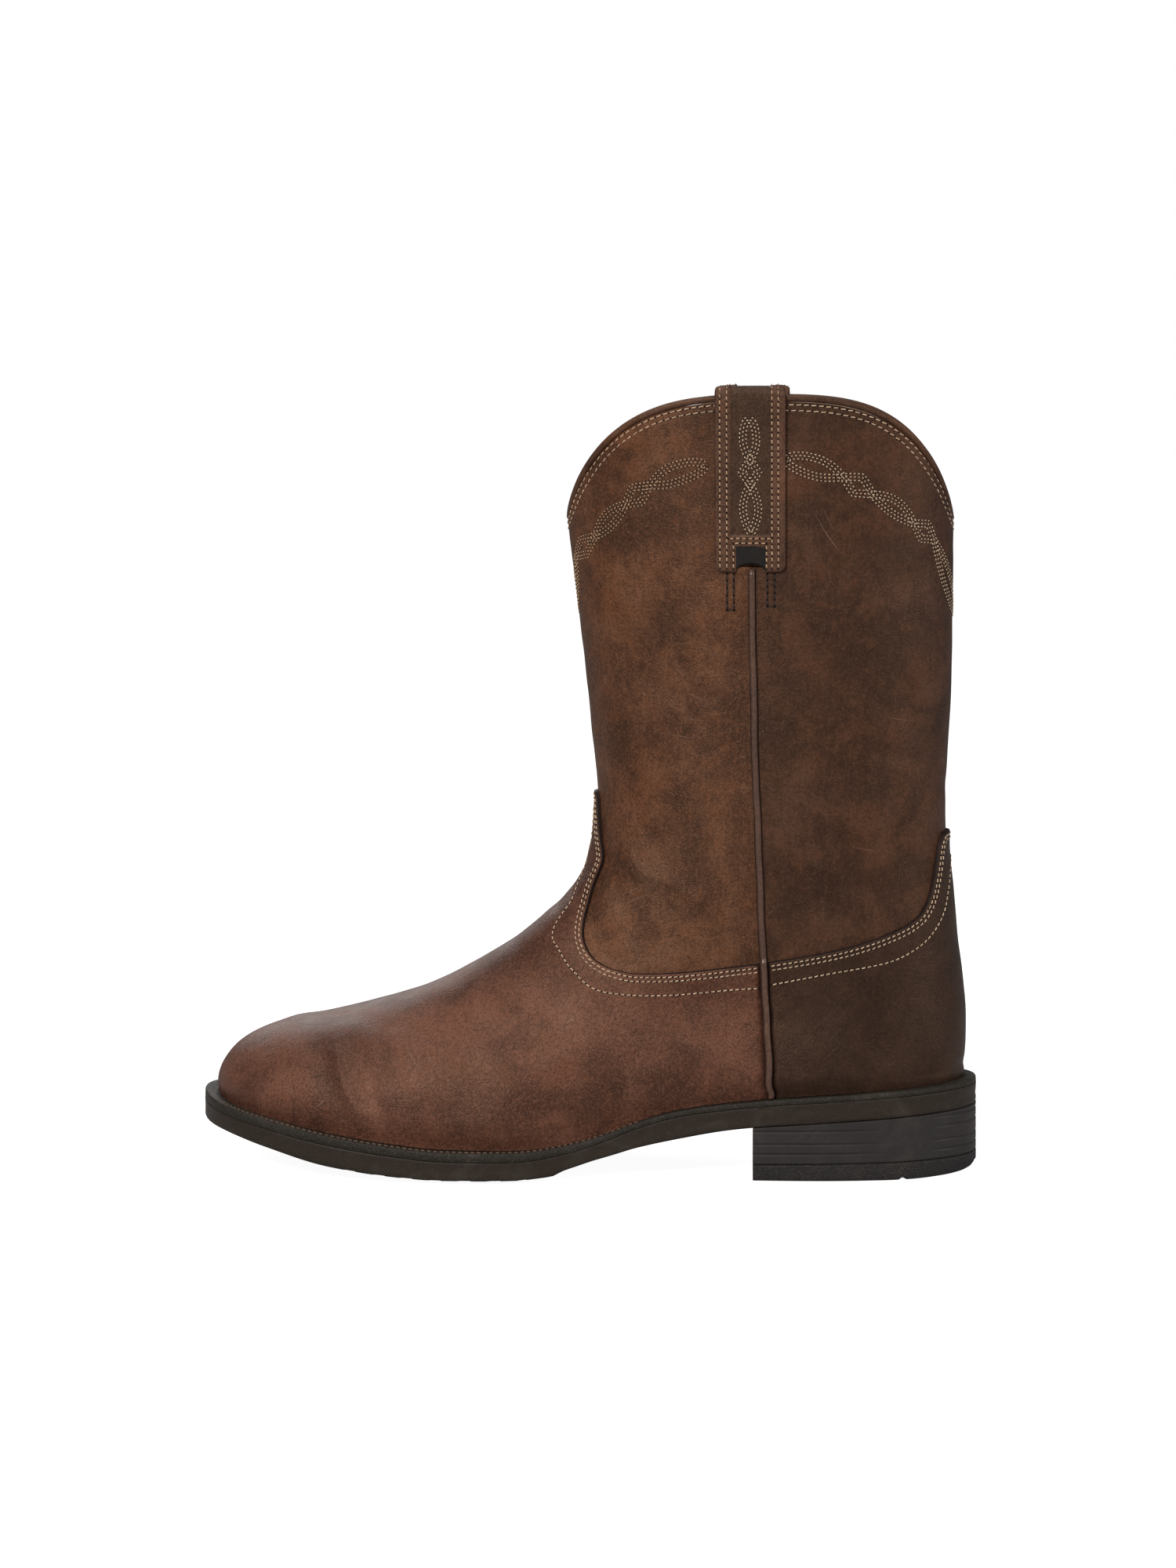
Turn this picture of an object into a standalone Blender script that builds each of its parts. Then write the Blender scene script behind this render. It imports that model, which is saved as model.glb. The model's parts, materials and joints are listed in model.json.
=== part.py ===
"""Roper boot for the left foot, in metres: toe to -X, outer side to -Y, floor at Z = 0."""

import math

import bmesh
import bpy
from mathutils import Vector

MM = 0.001

# Driving sizes

LENGTH = 305 * MM
BALL_WIDTH = 106 * MM
COLLAR_DIP_HEIGHT = 255 * MM
COLLAR_SCALLOP = 47 * MM
DOME_FRONT = 2.9
DOME_REAR = 3.5
INSTEP_WIDTH = 70 * MM
WALL = 2.2 * MM
OVERLAY = 1.3 * MM
GAP = 0.3 * MM

SOLE = 10 * MM
TREAD_ROLL = 1.3 * MM
TREAD_ROLL_WIDTH = 7 * MM
WELT_FORE = 3.5 * MM
WELT_HEEL = 2.2 * MM
WELT_LEDGE = 5.5 * MM
WAIST_LEDGE = 3 * MM
HEEL_LEDGE = 5 * MM
TREAD_DEPTH = 1.2 * MM
TREAD_GROOVE = 3 * MM
TREAD_GROOVES = 7
TREAD_PITCH = 11 * MM
TREAD_FRONT = -88 * MM
HEEL_GROOVE = 124 * MM

HEEL_BREAST = 66 * MM
HEEL_RIB = 0.8 * MM
HEEL_CAP = 6.2 * MM
HEEL_CAP_SLOPE = 1 * MM

INSOLE_RISE = 2 * MM

CORD = 3 * MM
COLLAR_BEAD = 2.6 * MM

STRAP_WIDTH = 27 * MM
STRAP = 1.8 * MM
STRAP_LOW = 234 * MM
STRAP_LOW_INSIDE = 250 * MM
STRAP_TOP = 306.5 * MM
STRAP_NOTCH = 4 * MM

COLUMNS = 48
LEVELS = (0, 0.02, 0.045, 0.075, 0.105, 0.14, 0.18, 0.22, 0.26, 0.3, 0.34, 0.38, 0.42,
          0.46, 0.5, 0.54, 0.58, 0.62, 0.67, 0.73, 0.8, 0.87, 0.94, 1)

# Outline of the sole: along is a share of the length from the toe,
# outer and inner are shares of the ball width to each side of the middle.

OUTLINE = (
    # along, outer, inner
    (0.000, -0.038, 0.038),
    (0.028, 0.217, 0.274),
    (0.087, 0.358, 0.396),
    (0.185, 0.458, 0.481),
    (0.280, 0.493, 0.500),
    (0.369, 0.495, 0.453),
    (0.461, 0.448, 0.368),
    (0.566, 0.385, 0.317),
    (0.670, 0.351, 0.315),
    (0.775, 0.347, 0.334),
    (0.880, 0.312, 0.312),
    (0.959, 0.212, 0.218),
    (0.995, 0.078, 0.088),
    (1.000, -0.008, 0.008),
)

# Side view of the sole: heights as shares of the sole's thickness, at a share of the length.

SOLE_SIDE = (
    # along, top, bottom
    (0.000, 2.79, 1.55),
    (0.040, 2.49, 1.36),
    (0.100, 2.15, 0.96),
    (0.180, 1.72, 0.42),
    (0.260, 1.40, 0.13),
    (0.330, 1.21, 0.00),
    (0.420, 1.19, 0.00),
    (0.440, 1.22, 0.04),
    (0.468, 1.34, 0.21),
    (0.476, 1.38, 0.38),
    (0.510, 1.61, 0.76),
    (0.540, 1.90, 1.01),
    (0.570, 2.23, 1.27),
    (0.620, 2.65, 1.58),
    (0.700, 2.98, 1.98),
    (0.760, 3.15, 2.13),
    (1.000, 3.58, 2.56),
)

# Rings of the upper: rise is the ring's place from sole to collar. Its front and its back are
# shares of the length and of the collar's dip height, its widths are shares of the instep width
# over the ball, the waist and the heel, blunt is how square its ends are, lean is the inward
# set of its crest as a share of the ball width.

RINGS = (
    # rise, front, front height, back, back height, ball, waist, heel, blunt front, blunt back, lean
    (0.00, 0.018, 0.101, 0.984, 0.142, 1.45, 1.04, 0.98, 2.4, 4.6, 0.040),
    (0.04, 0.024, 0.131, 0.978, 0.160, 1.42, 1.05, 1.00, 2.4, 4.8, 0.038),
    (0.08, 0.040, 0.162, 0.980, 0.179, 1.40, 1.05, 1.01, 2.3, 5.0, 0.036),
    (0.12, 0.064, 0.184, 0.981, 0.200, 1.37, 1.04, 1.01, 2.2, 5.0, 0.034),
    (0.18, 0.112, 0.206, 0.981, 0.232, 1.34, 1.02, 1.00, 2.1, 4.8, 0.032),
    (0.25, 0.185, 0.225, 0.979, 0.278, 1.20, 0.99, 0.98, 2.0, 4.4, 0.030),
    (0.35, 0.295, 0.265, 0.973, 0.349, 1.03, 0.97, 0.96, 2.0, 3.8, 0.028),
    (0.45, 0.393, 0.327, 0.966, 0.427, 0.97, 0.97, 0.96, 2.1, 3.2, 0.024),
    (0.55, 0.473, 0.406, 0.961, 0.508, 0.98, 0.99, 0.98, 2.2, 2.8, 0.018),
    (0.62, 0.503, 0.466, 0.961, 0.568, 0.99, 1.00, 0.99, 2.2, 2.6, 0.012),
    (0.70, 0.513, 0.560, 0.964, 0.640, 1.00, 1.01, 1.00, 2.2, 2.4, 0.008),
    (0.80, 0.503, 0.692, 0.968, 0.745, 1.04, 1.04, 1.04, 2.2, 2.3, 0.004),
    (0.90, 0.488, 0.855, 0.970, 0.870, 1.10, 1.10, 1.10, 2.2, 2.3, 0.002),
    (1.00, 0.474, 0.990, 0.971, 0.990, 1.15, 1.15, 1.15, 2.2, 2.3, 0.000),
)

# Edge of the vamp and of the counter in side view, as shares of the length and of the collar's
# dip height.

VAMP_EDGE = (
    # along from the middle, height
    (-0.1311, 0.5765), (0.0128, 0.5765), (0.0164, 0.5412), (0.0184, 0.5020), (0.0177, 0.4706),
    (0.0098, 0.4314), (0.0033, 0.4000), (0.0000, 0.3686), (0.0049, 0.3451), (0.0180, 0.3255),
    (0.0361, 0.3157), (0.0656, 0.3098), (0.1246, 0.3118), (0.1705, 0.3176), (0.2230, 0.3255),
)
COUNTER_EDGE = (
    # along from the middle, height
    (0.2361, 0.3255), (0.2689, 0.3333), (0.3115, 0.3431), (0.3541, 0.3569), (0.3836, 0.3706),
    (0.4098, 0.3902), (0.4295, 0.4157), (0.4393, 0.4471), (0.4443, 0.4863), (0.4475, 0.5098),
    (0.4557, 0.5255), (0.5902, 0.5294),
)

# Side seam in side view, from the sole to the strap, as shares of the same two sizes.

SEAM = (
    # height, place along from the middle
    (0.0784, 0.2426), (0.1961, 0.2361), (0.3255, 0.2295), (0.4706, 0.2246), (0.6275, 0.2197),
    (0.8039, 0.2164), (1.2157, 0.2131),
)

# Ribs in the side of the heel: share of its height, set in from the outline in rib depths.

HEEL_SIDE = (
    # height, inset
    (0.00, 1.0), (0.05, 0.2), (0.26, 0.0), (0.29, 1.0), (0.32, 0.0), (0.52, 0.0), (0.55, 1.0),
    (0.58, 0.0), (0.80, 0.0), (0.83, 1.0), (0.86, 0.0), (1.00, 0.0),
)


def smooth(share):
    share = min(1, max(0, share))
    return share * share * (3 - 2 * share)


def spline(rows, at, column):
    """Value of a column at a place in the first one, on a curve without overshoot."""
    last = len(rows) - 2
    i = 0
    while i < last and at > rows[i + 1][0]:
        i += 1
    here, there = rows[i], rows[i + 1]
    span = there[0] - here[0]
    share = min(1, max(0, (at - here[0]) / span))

    def slope(j):
        if j == 0 or j == len(rows) - 1:
            near = rows[1] if j == 0 else rows[-2]
            return (near[column] - rows[j][column]) / (near[0] - rows[j][0])
        before = (rows[j][column] - rows[j - 1][column]) / (rows[j][0] - rows[j - 1][0])
        after = (rows[j + 1][column] - rows[j][column]) / (rows[j + 1][0] - rows[j][0])
        if before * after <= 0:
            return 0
        return 2 * before * after / (before + after)

    a, b = slope(i) * span, slope(i + 1) * span
    rise = there[column] - here[column]
    return here[column] + share * (a + share * (3 * rise - 2 * a - b + share * (a + b - 2 * rise)))


def turned(rows):
    """The outline with the angle round the sole in place of the share along it."""
    return tuple((math.acos(1 - 2 * row[0]), *row[1:]) for row in rows)


TURNED_OUTLINE = turned(OUTLINE)


def along_of(x):
    return x / LENGTH + 0.5


def sole_top(x):
    return spline(SOLE_SIDE, along_of(x), 1) * SOLE


def sole_bottom(x):
    return spline(SOLE_SIDE, along_of(x), 2) * SOLE


def sole_edge(angle):
    """Point of the sole's outline at an angle from the toe, over the outer side first."""
    angle %= 2 * math.pi
    outer = angle <= math.pi
    turn = angle if outer else 2 * math.pi - angle
    x = (0.5 - 0.5 * math.cos(turn)) * LENGTH - LENGTH / 2
    side = spline(TURNED_OUTLINE, turn, 1 if outer else 2) * BALL_WIDTH
    return Vector((x, -side if outer else side, 0))


def inset_edge(angle, inset):
    ahead = sole_edge(angle + 0.02)
    behind = sole_edge(angle - 0.02)
    run = (ahead - behind).normalized()
    inward = Vector((-run.y, run.x, 0))
    return sole_edge(angle) - inward * -inset if inward.dot(sole_edge(angle)) > 0 else \
        sole_edge(angle) + inward * inset


def ledge(x):
    """Width of sole left outside the upper."""
    along = along_of(x)
    fore = smooth((0.52 - along) / 0.2)
    rear = smooth((along - 0.82) / 0.16)
    return WAIST_LEDGE + (WELT_LEDGE - WAIST_LEDGE) * fore + (HEEL_LEDGE - WAIST_LEDGE) * rear


def foot_edge(angle, inset=0):
    edge = sole_edge(angle)
    return inset_edge(angle, ledge(edge.x) + OVERLAY + GAP + inset)


def ring_row(rise):
    return [spline(RINGS, rise, column) for column in range(11)]


def upper_form(rise, angle):
    """Point of the upper's outer face, rise 0 at the sole and 1 at the collar."""
    (_, front, front_height, back, back_height, ball, waist, heel,
     blunt_front, blunt_back, lean) = ring_row(rise)
    toe, heel_end = foot_edge(0), foot_edge(math.pi)
    edge = foot_edge(angle)
    turn = angle % (2 * math.pi)
    outer = turn <= math.pi
    cosine = math.cos(turn)
    low = (edge.x - toe.x) / (heel_end.x - toe.x)
    high = 0.5 - 0.5 * cosine
    oval = smooth(rise / 0.3)
    share = low + (high - low) * oval
    front_x = (front - 0.5) * LENGTH
    back_x = (back - 0.5) * LENGTH
    start = smooth(rise / 0.04)
    front_x = toe.x + (front_x - toe.x) * start
    back_x = heel_end.x + (back_x - heel_end.x) * start
    x = front_x + (back_x - front_x) * share
    rise_line = front_height + (back_height - front_height) * share
    low_line = RINGS[0][2] + (RINGS[0][4] - RINGS[0][2]) * low
    bow = sole_top(edge.x) + GAP - low_line * COLLAR_DIP_HEIGHT
    z = rise_line * COLLAR_DIP_HEIGHT + bow * (1 - smooth(rise / 0.42))
    full = DOME_FRONT if cosine > 0 else DOME_REAR
    dome = max(0, 1 - abs(cosine) ** full) ** (1 / 1.7)
    dome = (math.hypot(dome, 0.15) - 0.15) / (math.hypot(1, 0.15) - 0.15)
    z += COLLAR_SCALLOP * dome * smooth((rise - 0.35) / 0.65) ** 1.3
    widths = ((0, ball), (0.25, ball), (0.6, waist), (0.9, heel), (1, heel))
    wide = spline(widths, share, 1) * INSTEP_WIDTH / 2
    blunt = blunt_front if cosine > 0 else blunt_back
    oval_side = wide * max(0, 1 - abs(cosine) ** blunt) ** 0.5
    crest = lean * BALL_WIDTH
    bulge = 1 + 0.06 * smooth(rise / 0.06) - 0.05 * smooth((rise - 0.1) / 0.2)
    side = oval_side if not outer else -oval_side
    y = edge.y * bulge * (1 - oval) + (side + crest) * oval
    return Vector((x, y, z))


def upper_face(rise, angle, out=0):
    """Point at a distance outside the upper's outer face."""
    point = upper_form(rise, angle)
    if out == 0:
        return point
    step = 0.004
    up = upper_form(min(1, rise + step), angle) - upper_form(max(0, rise - step), angle)
    along = upper_form(rise, angle + step) - upper_form(rise, angle - step)
    normal = along.cross(up)
    if rise in (0, 1):
        normal.z = 0
    normal.normalize()
    return point + normal * out


def column_angle(i, count=COLUMNS):
    return 2 * math.pi * i / count


def ring(rise, out=0):
    return [upper_face(rise, column_angle(i), out) for i in range(COLUMNS)]


def outline_ring(inset, height_of):
    points = []
    for i in range(COLUMNS):
        point = inset(column_angle(i)) if callable(inset) else inset_edge(column_angle(i), inset)
        point.z = height_of(point.x)
        points.append(point)
    return points


# Scene

for old in list(bpy.data.objects):
    bpy.data.objects.remove(old)

boot = bpy.data.collections.new("roper_boot")
cutters = bpy.data.collections.new("cutters")
bpy.context.scene.collection.children.link(boot)
bpy.context.scene.collection.children.link(cutters)


def material(name, colour, roughness, metallic=0.0):
    made = bpy.data.materials.new(name)
    made.use_nodes = True
    shader = made.node_tree.nodes["Principled BSDF"]
    shader.inputs["Base Color"].default_value = (*colour, 1)
    shader.inputs["Roughness"].default_value = roughness
    shader.inputs["Metallic"].default_value = metallic
    return made


def placed(name, mesh, made=None):
    body = bpy.data.objects.new(name, mesh)
    if made:
        mesh.materials.append(made)
        boot.objects.link(body)
    else:
        cutters.objects.link(body)
        body.hide_render = True
        body.display_type = "WIRE"
    return body


def lofted(name, rings, made=None, joined=False):
    """Solid through loops of equal count, its ends capped across or joined to each other."""
    count = len(rings[0])
    points = [point for loop in rings for point in loop]
    faces = []
    spans = len(rings) if joined else len(rings) - 1
    for j in range(spans):
        here, there = j * count, (j + 1) % len(rings) * count
        for i in range(count):
            k = (i + 1) % count
            faces.append((here + i, here + k, there + k, there + i))
    if not joined:
        for base, flip in ((0, True), ((len(rings) - 1) * count, False)):
            for i in range(count // 2):
                a, b = base + i, base + i + 1
                c, d = base + (count - i - 1), base + (count - i) % count
                corners = [a, b, c, d]
                corners = [corner for n, corner in enumerate(corners) if corner not in corners[:n]]
                faces.append(tuple(reversed(corners)) if flip else tuple(corners))
    mesh = bpy.data.meshes.new(name)
    mesh.from_pydata(points, [], faces)
    mesh.validate()
    return placed(name, mesh, made)


def rounded_off(body):
    for face in body.data.polygons:
        face.use_smooth = True
    body.data.set_sharp_from_angle(angle=math.radians(35))


def cut(body, other, operation):
    step = body.modifiers.new(operation.lower(), "BOOLEAN")
    step.object = other
    step.operation = operation
    step.solver = "EXACT"


def applied(body):
    graph = bpy.context.evaluated_depsgraph_get()
    mesh = bpy.data.meshes.new_from_object(body.evaluated_get(graph))
    body.modifiers.clear()
    body.data = mesh


def side_prism(name, points):
    """Wide prism across the boot over an outline in side view."""
    drawing = bpy.data.curves.new(name, "CURVE")
    drawing.dimensions = "2D"
    drawing.fill_mode = "BOTH"
    drawing.extrude = BALL_WIDTH
    line = drawing.splines.new("POLY")
    line.points.add(len(points) - 1)
    for place, (x, z) in zip(line.points, points):
        place.co = (x, z, 0, 1)
    line.use_cyclic_u = True
    drawn = bpy.data.objects.new(name + "_curve", drawing)
    drawn.rotation_euler = (math.pi / 2, 0, 0)
    cutters.objects.link(drawn)
    bpy.context.view_layer.update()
    mesh = bpy.data.meshes.new_from_object(drawn)
    mesh.transform(drawn.matrix_world)
    bpy.data.objects.remove(drawn)
    work = bmesh.new()
    work.from_mesh(mesh)
    bmesh.ops.remove_doubles(work, verts=work.verts, dist=0.00001)
    bmesh.ops.recalc_face_normals(work, faces=work.faces)
    work.to_mesh(mesh)
    work.free()
    return placed(name, mesh)


leather = material("leather_brown", (0.12, 0.052, 0.028), 0.5)
leather_dark = material("leather_dark", (0.085, 0.036, 0.022), 0.5)
binding = material("leather_black", (0.03, 0.022, 0.02), 0.5)
rubber = material("rubber_black", (0.02, 0.02, 0.02), 0.6)
board = material("insole_tan", (0.35, 0.24, 0.15), 0.8)

# Upper

rings = [ring(rise) for rise in LEVELS]
rings += [ring(rise, -WALL) for rise in reversed(LEVELS)]
upper = lofted("upper", rings, leather, joined=True)
rounded_off(upper)



def frame_at(rise, angle):
    """Point of the upper's outer face, its outward normal and its level tangent."""
    step = 0.004
    here = upper_form(rise, angle)
    up = upper_form(min(1, rise + step), angle) - upper_form(max(0, rise - step), angle)
    along = upper_form(rise, angle + step) - upper_form(rise, angle - step)
    return here, along.cross(up).normalized(), along.normalized()


def found(low, high, wanted, value):
    """Where a rising value reaches the wanted one."""
    for _ in range(22):
        middle = (low + high) / 2
        if value(middle) < wanted:
            low = middle
        else:
            high = middle
    return (low + high) / 2


def on_side(x, z, outer=True):
    """Rise and angle of the upper's point seen at a place in side view."""
    def angle_at(rise):
        turn = found(0, math.pi, x, lambda angle: upper_form(rise, angle).x)
        return turn if outer else 2 * math.pi - turn
    rise = found(0, 1, z, lambda share: upper_form(share, angle_at(share)).z)
    return rise, angle_at(rise)


def seam_x(z):
    return spline(SEAM, z / COLLAR_DIP_HEIGHT, 1) * LENGTH


# Overlays and trim of the upper

FORM_LEVELS = [rise for rise in LEVELS if rise <= 0.8]
outer_form = [ring(rise, OVERLAY + GAP) for rise in FORM_LEVELS]
outer_form[0] = [point + Vector((0, 0, 2 * GAP)) for point in outer_form[0]]
inner_form = [ring(rise, GAP) for rise in FORM_LEVELS]
below = [point - Vector((0, 0, 5 * MM)) for point in inner_form[0]]
above = [point + Vector((0, 0, 5 * MM)) for point in inner_form[-1]]
core = lofted("core", [below, *inner_form, above])

SEAM_LEVELS = (0.3255, 0.2353, 0.1569, 0.0784, -0.0392)
SEAM_CLEAR = CORD / 2 + 3 * GAP
REACH = 0.62 * LENGTH


def side_view(edge):
    """Edge line in metres from its shares of the length and of the collar's dip height."""
    return [(x * LENGTH, z * COLLAR_DIP_HEIGHT) for x, z in edge]


def overlay(name, edge, side):
    """Piece of the larger form inside an edge line and on one side of the seams."""
    edge = side_view(edge)
    end = side * REACH
    heights = [share * COLLAR_DIP_HEIGHT for share in SEAM_LEVELS]
    seam = [(seam_x(z) + side * SEAM_CLEAR, z) for z in heights]
    if side < 0:
        edge = [(end, edge[0][1]), *edge[:-1], (seam[0][0], edge[-1][1])]
        points = [*edge, *seam[1:], (end, seam[-1][1])]
    else:
        edge = [(seam[0][0], edge[0][1]), *edge[1:-1], (end, edge[-1][1])]
        points = [*edge, (end, seam[-1][1]), *reversed(seam[1:])]
    body = lofted(name, outer_form, leather_dark)
    cut(body, side_prism(name + "_region", points), "INTERSECT")
    cut(body, core, "DIFFERENCE")
    applied(body)
    rounded_off(body)
    return body


vamp = overlay("vamp", VAMP_EDGE, -1)
counter = overlay("counter", COUNTER_EDGE, 1)

CORD_SECTION = (
    # across, out, as shares of the cord's width
    (-0.5, 0.10), (-0.42, 0.50), (-0.18, 0.75), (0.18, 0.75), (0.42, 0.50), (0.5, 0.10),
)
CORD_HEIGHTS = (
    # shares of the collar's dip height
    0.9137, 0.8627, 0.7843, 0.7059, 0.6275, 0.5490, 0.4902, 0.4314, 0.3804, 0.3294, 0.2824, 0.2353,
    0.1961, 0.1647, 0.1412,
)


def side_cord(name, outer):
    rings = []
    for share in CORD_HEIGHTS:
        z = share * COLLAR_DIP_HEIGHT
        here, normal, level = frame_at(*on_side(seam_x(z), z, outer))
        if not outer:
            level = -level
        rings.append([here + level * across * CORD + normal * out * CORD
                      for across, out in CORD_SECTION])
    foot = CORD_HEIGHTS[-1] * COLLAR_DIP_HEIGHT
    here, normal, level = frame_at(0.004, on_side(seam_x(foot), foot, outer)[1])
    if not outer:
        level = -level
    rings.append([here + level * across * CORD + normal * out * CORD
                  for across, out in CORD_SECTION])
    if outer:
        rings = [list(reversed(loop)) for loop in rings]
    body = lofted(name, rings, leather_dark)
    rounded_off(body)


side_cord("side_piping_outer", True)
side_cord("side_piping_inner", False)

BEAD_SIDES = 6
bead_rings = []
for side in range(BEAD_SIDES):
    turn = 2 * math.pi * side / BEAD_SIDES
    loop = []
    for i in range(COLUMNS):
        here, normal, level = frame_at(1, column_angle(i))
        upright = normal.cross(level)
        if upright.z < 0:
            upright = -upright
        middle = here - normal * WALL / 2 + upright * (COLLAR_BEAD / 2 + GAP)
        loop.append(middle + (normal * math.cos(turn) + upright * math.sin(turn)) * COLLAR_BEAD / 2)
    bead_rings.append(loop)
collar_piping = lofted("collar_piping", bead_rings, binding, joined=True)
rounded_off(collar_piping)

STRAP_COLUMNS = (-1, -0.6, -0.2, 0, 0.2, 0.6, 1)
STRAP_OUTSIDE = (0, 0.2, 0.4, 0.6, 0.8, 1)
STRAP_ARCH = (0, 30, 60, 90, 120, 150, 180)
STRAP_INSIDE = (1, 0.75, 0.5, 0.25, 0)
STRAP_FREE = 0.9 * MM


def pull_strap(name, outer):
    """Band folded over the collar at a side seam, thickness outwards from the upper."""
    columns = []
    for share in STRAP_COLUMNS:
        x = seam_x(STRAP_TOP) + share * STRAP_WIDTH / 2
        top = upper_form(1, found(0, math.pi, x, lambda angle: upper_form(1, angle).x))
        notch = STRAP_NOTCH * max(0, 1 - abs(share) / 0.2)
        corner = 1.5 * MM * abs(share) ** 6
        arch_radius = WALL / 2 + STRAP_FREE
        spring = STRAP_TOP - corner - arch_radius - STRAP
        line = []
        for step in STRAP_OUTSIDE:
            z = STRAP_LOW + notch + (top.z - 0.5 * MM - STRAP_LOW - notch) * step
            here, normal, _ = frame_at(*on_side(x, z, outer))
            away = GAP + (STRAP_FREE - GAP) * step
            line.append((here + normal * away, normal))
        here, normal, _ = frame_at(1, on_side(x, top.z - 0.1 * MM, outer)[1])
        normal.z = 0
        normal.normalize()
        middle = here - normal * WALL / 2
        for degrees in STRAP_ARCH:
            turn = math.radians(degrees)
            way = normal * math.cos(turn) + Vector((0, 0, math.sin(turn)))
            centre = Vector((middle.x, middle.y, spring))
            line.append((centre + way * arch_radius, way))
        for step in STRAP_INSIDE:
            z = STRAP_LOW_INSIDE + (top.z - 0.5 * MM - STRAP_LOW_INSIDE) * step
            here, normal, _ = frame_at(*on_side(x, z, outer))
            away = GAP + (STRAP_FREE - GAP) * step
            line.append((here - normal * (WALL + away), -normal))
        columns.append(line)
    rings = []
    for j in range(len(columns[0])):
        near = [line[j][0] for line in columns]
        far = [line[j][0] + line[j][1] * STRAP for line in columns]
        loop = near + list(reversed(far))
        rings.append(list(reversed(loop)) if outer else loop)
    body = lofted(name, rings, leather)
    rounded_off(body)


pull_strap("pull_strap_outer", True)
pull_strap("pull_strap_inner", False)


# Sole

def outsole_top(x):
    thin = smooth((along_of(x) - 0.4) / 0.2)
    return sole_top(x) - (WELT_FORE + (WELT_HEEL - WELT_FORE) * thin)


def insole_edge(angle):
    return foot_edge(angle, WALL + 2 * GAP)


def welt_hole(angle):
    return foot_edge(angle, WALL)


def block(name, low, high):
    """Box between two corners."""
    mesh = bpy.data.meshes.new(name)
    work = bmesh.new()
    bmesh.ops.create_cube(work, size=1)
    for vert in work.verts:
        for axis in range(3):
            vert.co[axis] = low[axis] if vert.co[axis] < 0 else high[axis]
    work.to_mesh(mesh)
    work.free()
    return placed(name, mesh)


def groove(body, number, x, depth, base):
    """Groove across the tread at a place along the boot."""
    name = f"{body.name}_groove_{number}"
    low = (x - TREAD_GROOVE / 2, -BALL_WIDTH, base - 10 * MM)
    high = (x + TREAD_GROOVE / 2, BALL_WIDTH, base + depth)
    cut(body, block(name, low, high), "DIFFERENCE")


def tread_rim(x):
    """Height of the bottom's edge, which rolls up round the tread."""
    return sole_bottom(x) + TREAD_ROLL * (1 - smooth((along_of(x) - 0.44) / 0.06))


outsole = lofted("outsole", [
    outline_ring(TREAD_ROLL_WIDTH, sole_bottom),
    outline_ring(0.8 * MM, tread_rim),
    outline_ring(0, lambda x: tread_rim(x) + 0.8 * MM),
    outline_ring(0, lambda x: outsole_top(x) - GAP),
], rubber)
for number in range(TREAD_GROOVES):
    x = TREAD_FRONT + number * TREAD_PITCH
    groove(outsole, number, x, TREAD_DEPTH, sole_bottom(x))
applied(outsole)
rounded_off(outsole)

welt = lofted("welt", [
    outline_ring(0.3 * MM, outsole_top),
    outline_ring(0.3 * MM, lambda x: sole_top(x) - 0.4 * MM),
    outline_ring(0.8 * MM, sole_top),
    outline_ring(welt_hole, sole_top),
    outline_ring(welt_hole, outsole_top),
], rubber, joined=True)
rounded_off(welt)
insole = lofted("insole", [
    outline_ring(insole_edge, outsole_top),
    outline_ring(insole_edge, lambda x: sole_top(x) + INSOLE_RISE),
], board)


def heel_height(x, share):
    """Height in the heel, between the cap and the outsole."""
    x = max(x, HEEL_BREAST - 25 * MM)
    low = cap_top(x) + GAP
    return low + (sole_bottom(x) - GAP - low) * share


def cap_top(x):
    rear = (max(x, HEEL_BREAST) - HEEL_BREAST) / (LENGTH / 2 - HEEL_BREAST)
    return HEEL_CAP + HEEL_CAP_SLOPE * rear


def heel_ring(share, inset):
    return outline_ring(inset * HEEL_RIB, lambda x: heel_height(x, share))


ahead = block("heel_ahead", (-LENGTH, -BALL_WIDTH, -10 * MM), (HEEL_BREAST, BALL_WIDTH, 50 * MM))
heel_block = lofted("heel_block", [heel_ring(*row) for row in HEEL_SIDE], rubber)
cut(heel_block, ahead, "DIFFERENCE")
applied(heel_block)
rounded_off(heel_block)
heel_cap = lofted("heel_cap", [
    outline_ring(1.4 * MM, lambda x: 0),
    outline_ring(0.3 * MM, lambda x: 1.5 * MM),
    outline_ring(0.1 * MM, cap_top),
], rubber)
cut(heel_cap, ahead, "DIFFERENCE")
groove(heel_cap, 1, HEEL_GROOVE, TREAD_DEPTH, 0)
applied(heel_cap)
rounded_off(heel_cap)
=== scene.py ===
"""Roper boot for the left foot: leather, stitching and rubber over its solid model."""

import json
import math
import random

import bpy
from bpy.props import FloatProperty, FloatVectorProperty, PointerProperty
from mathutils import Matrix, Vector, noise

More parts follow.
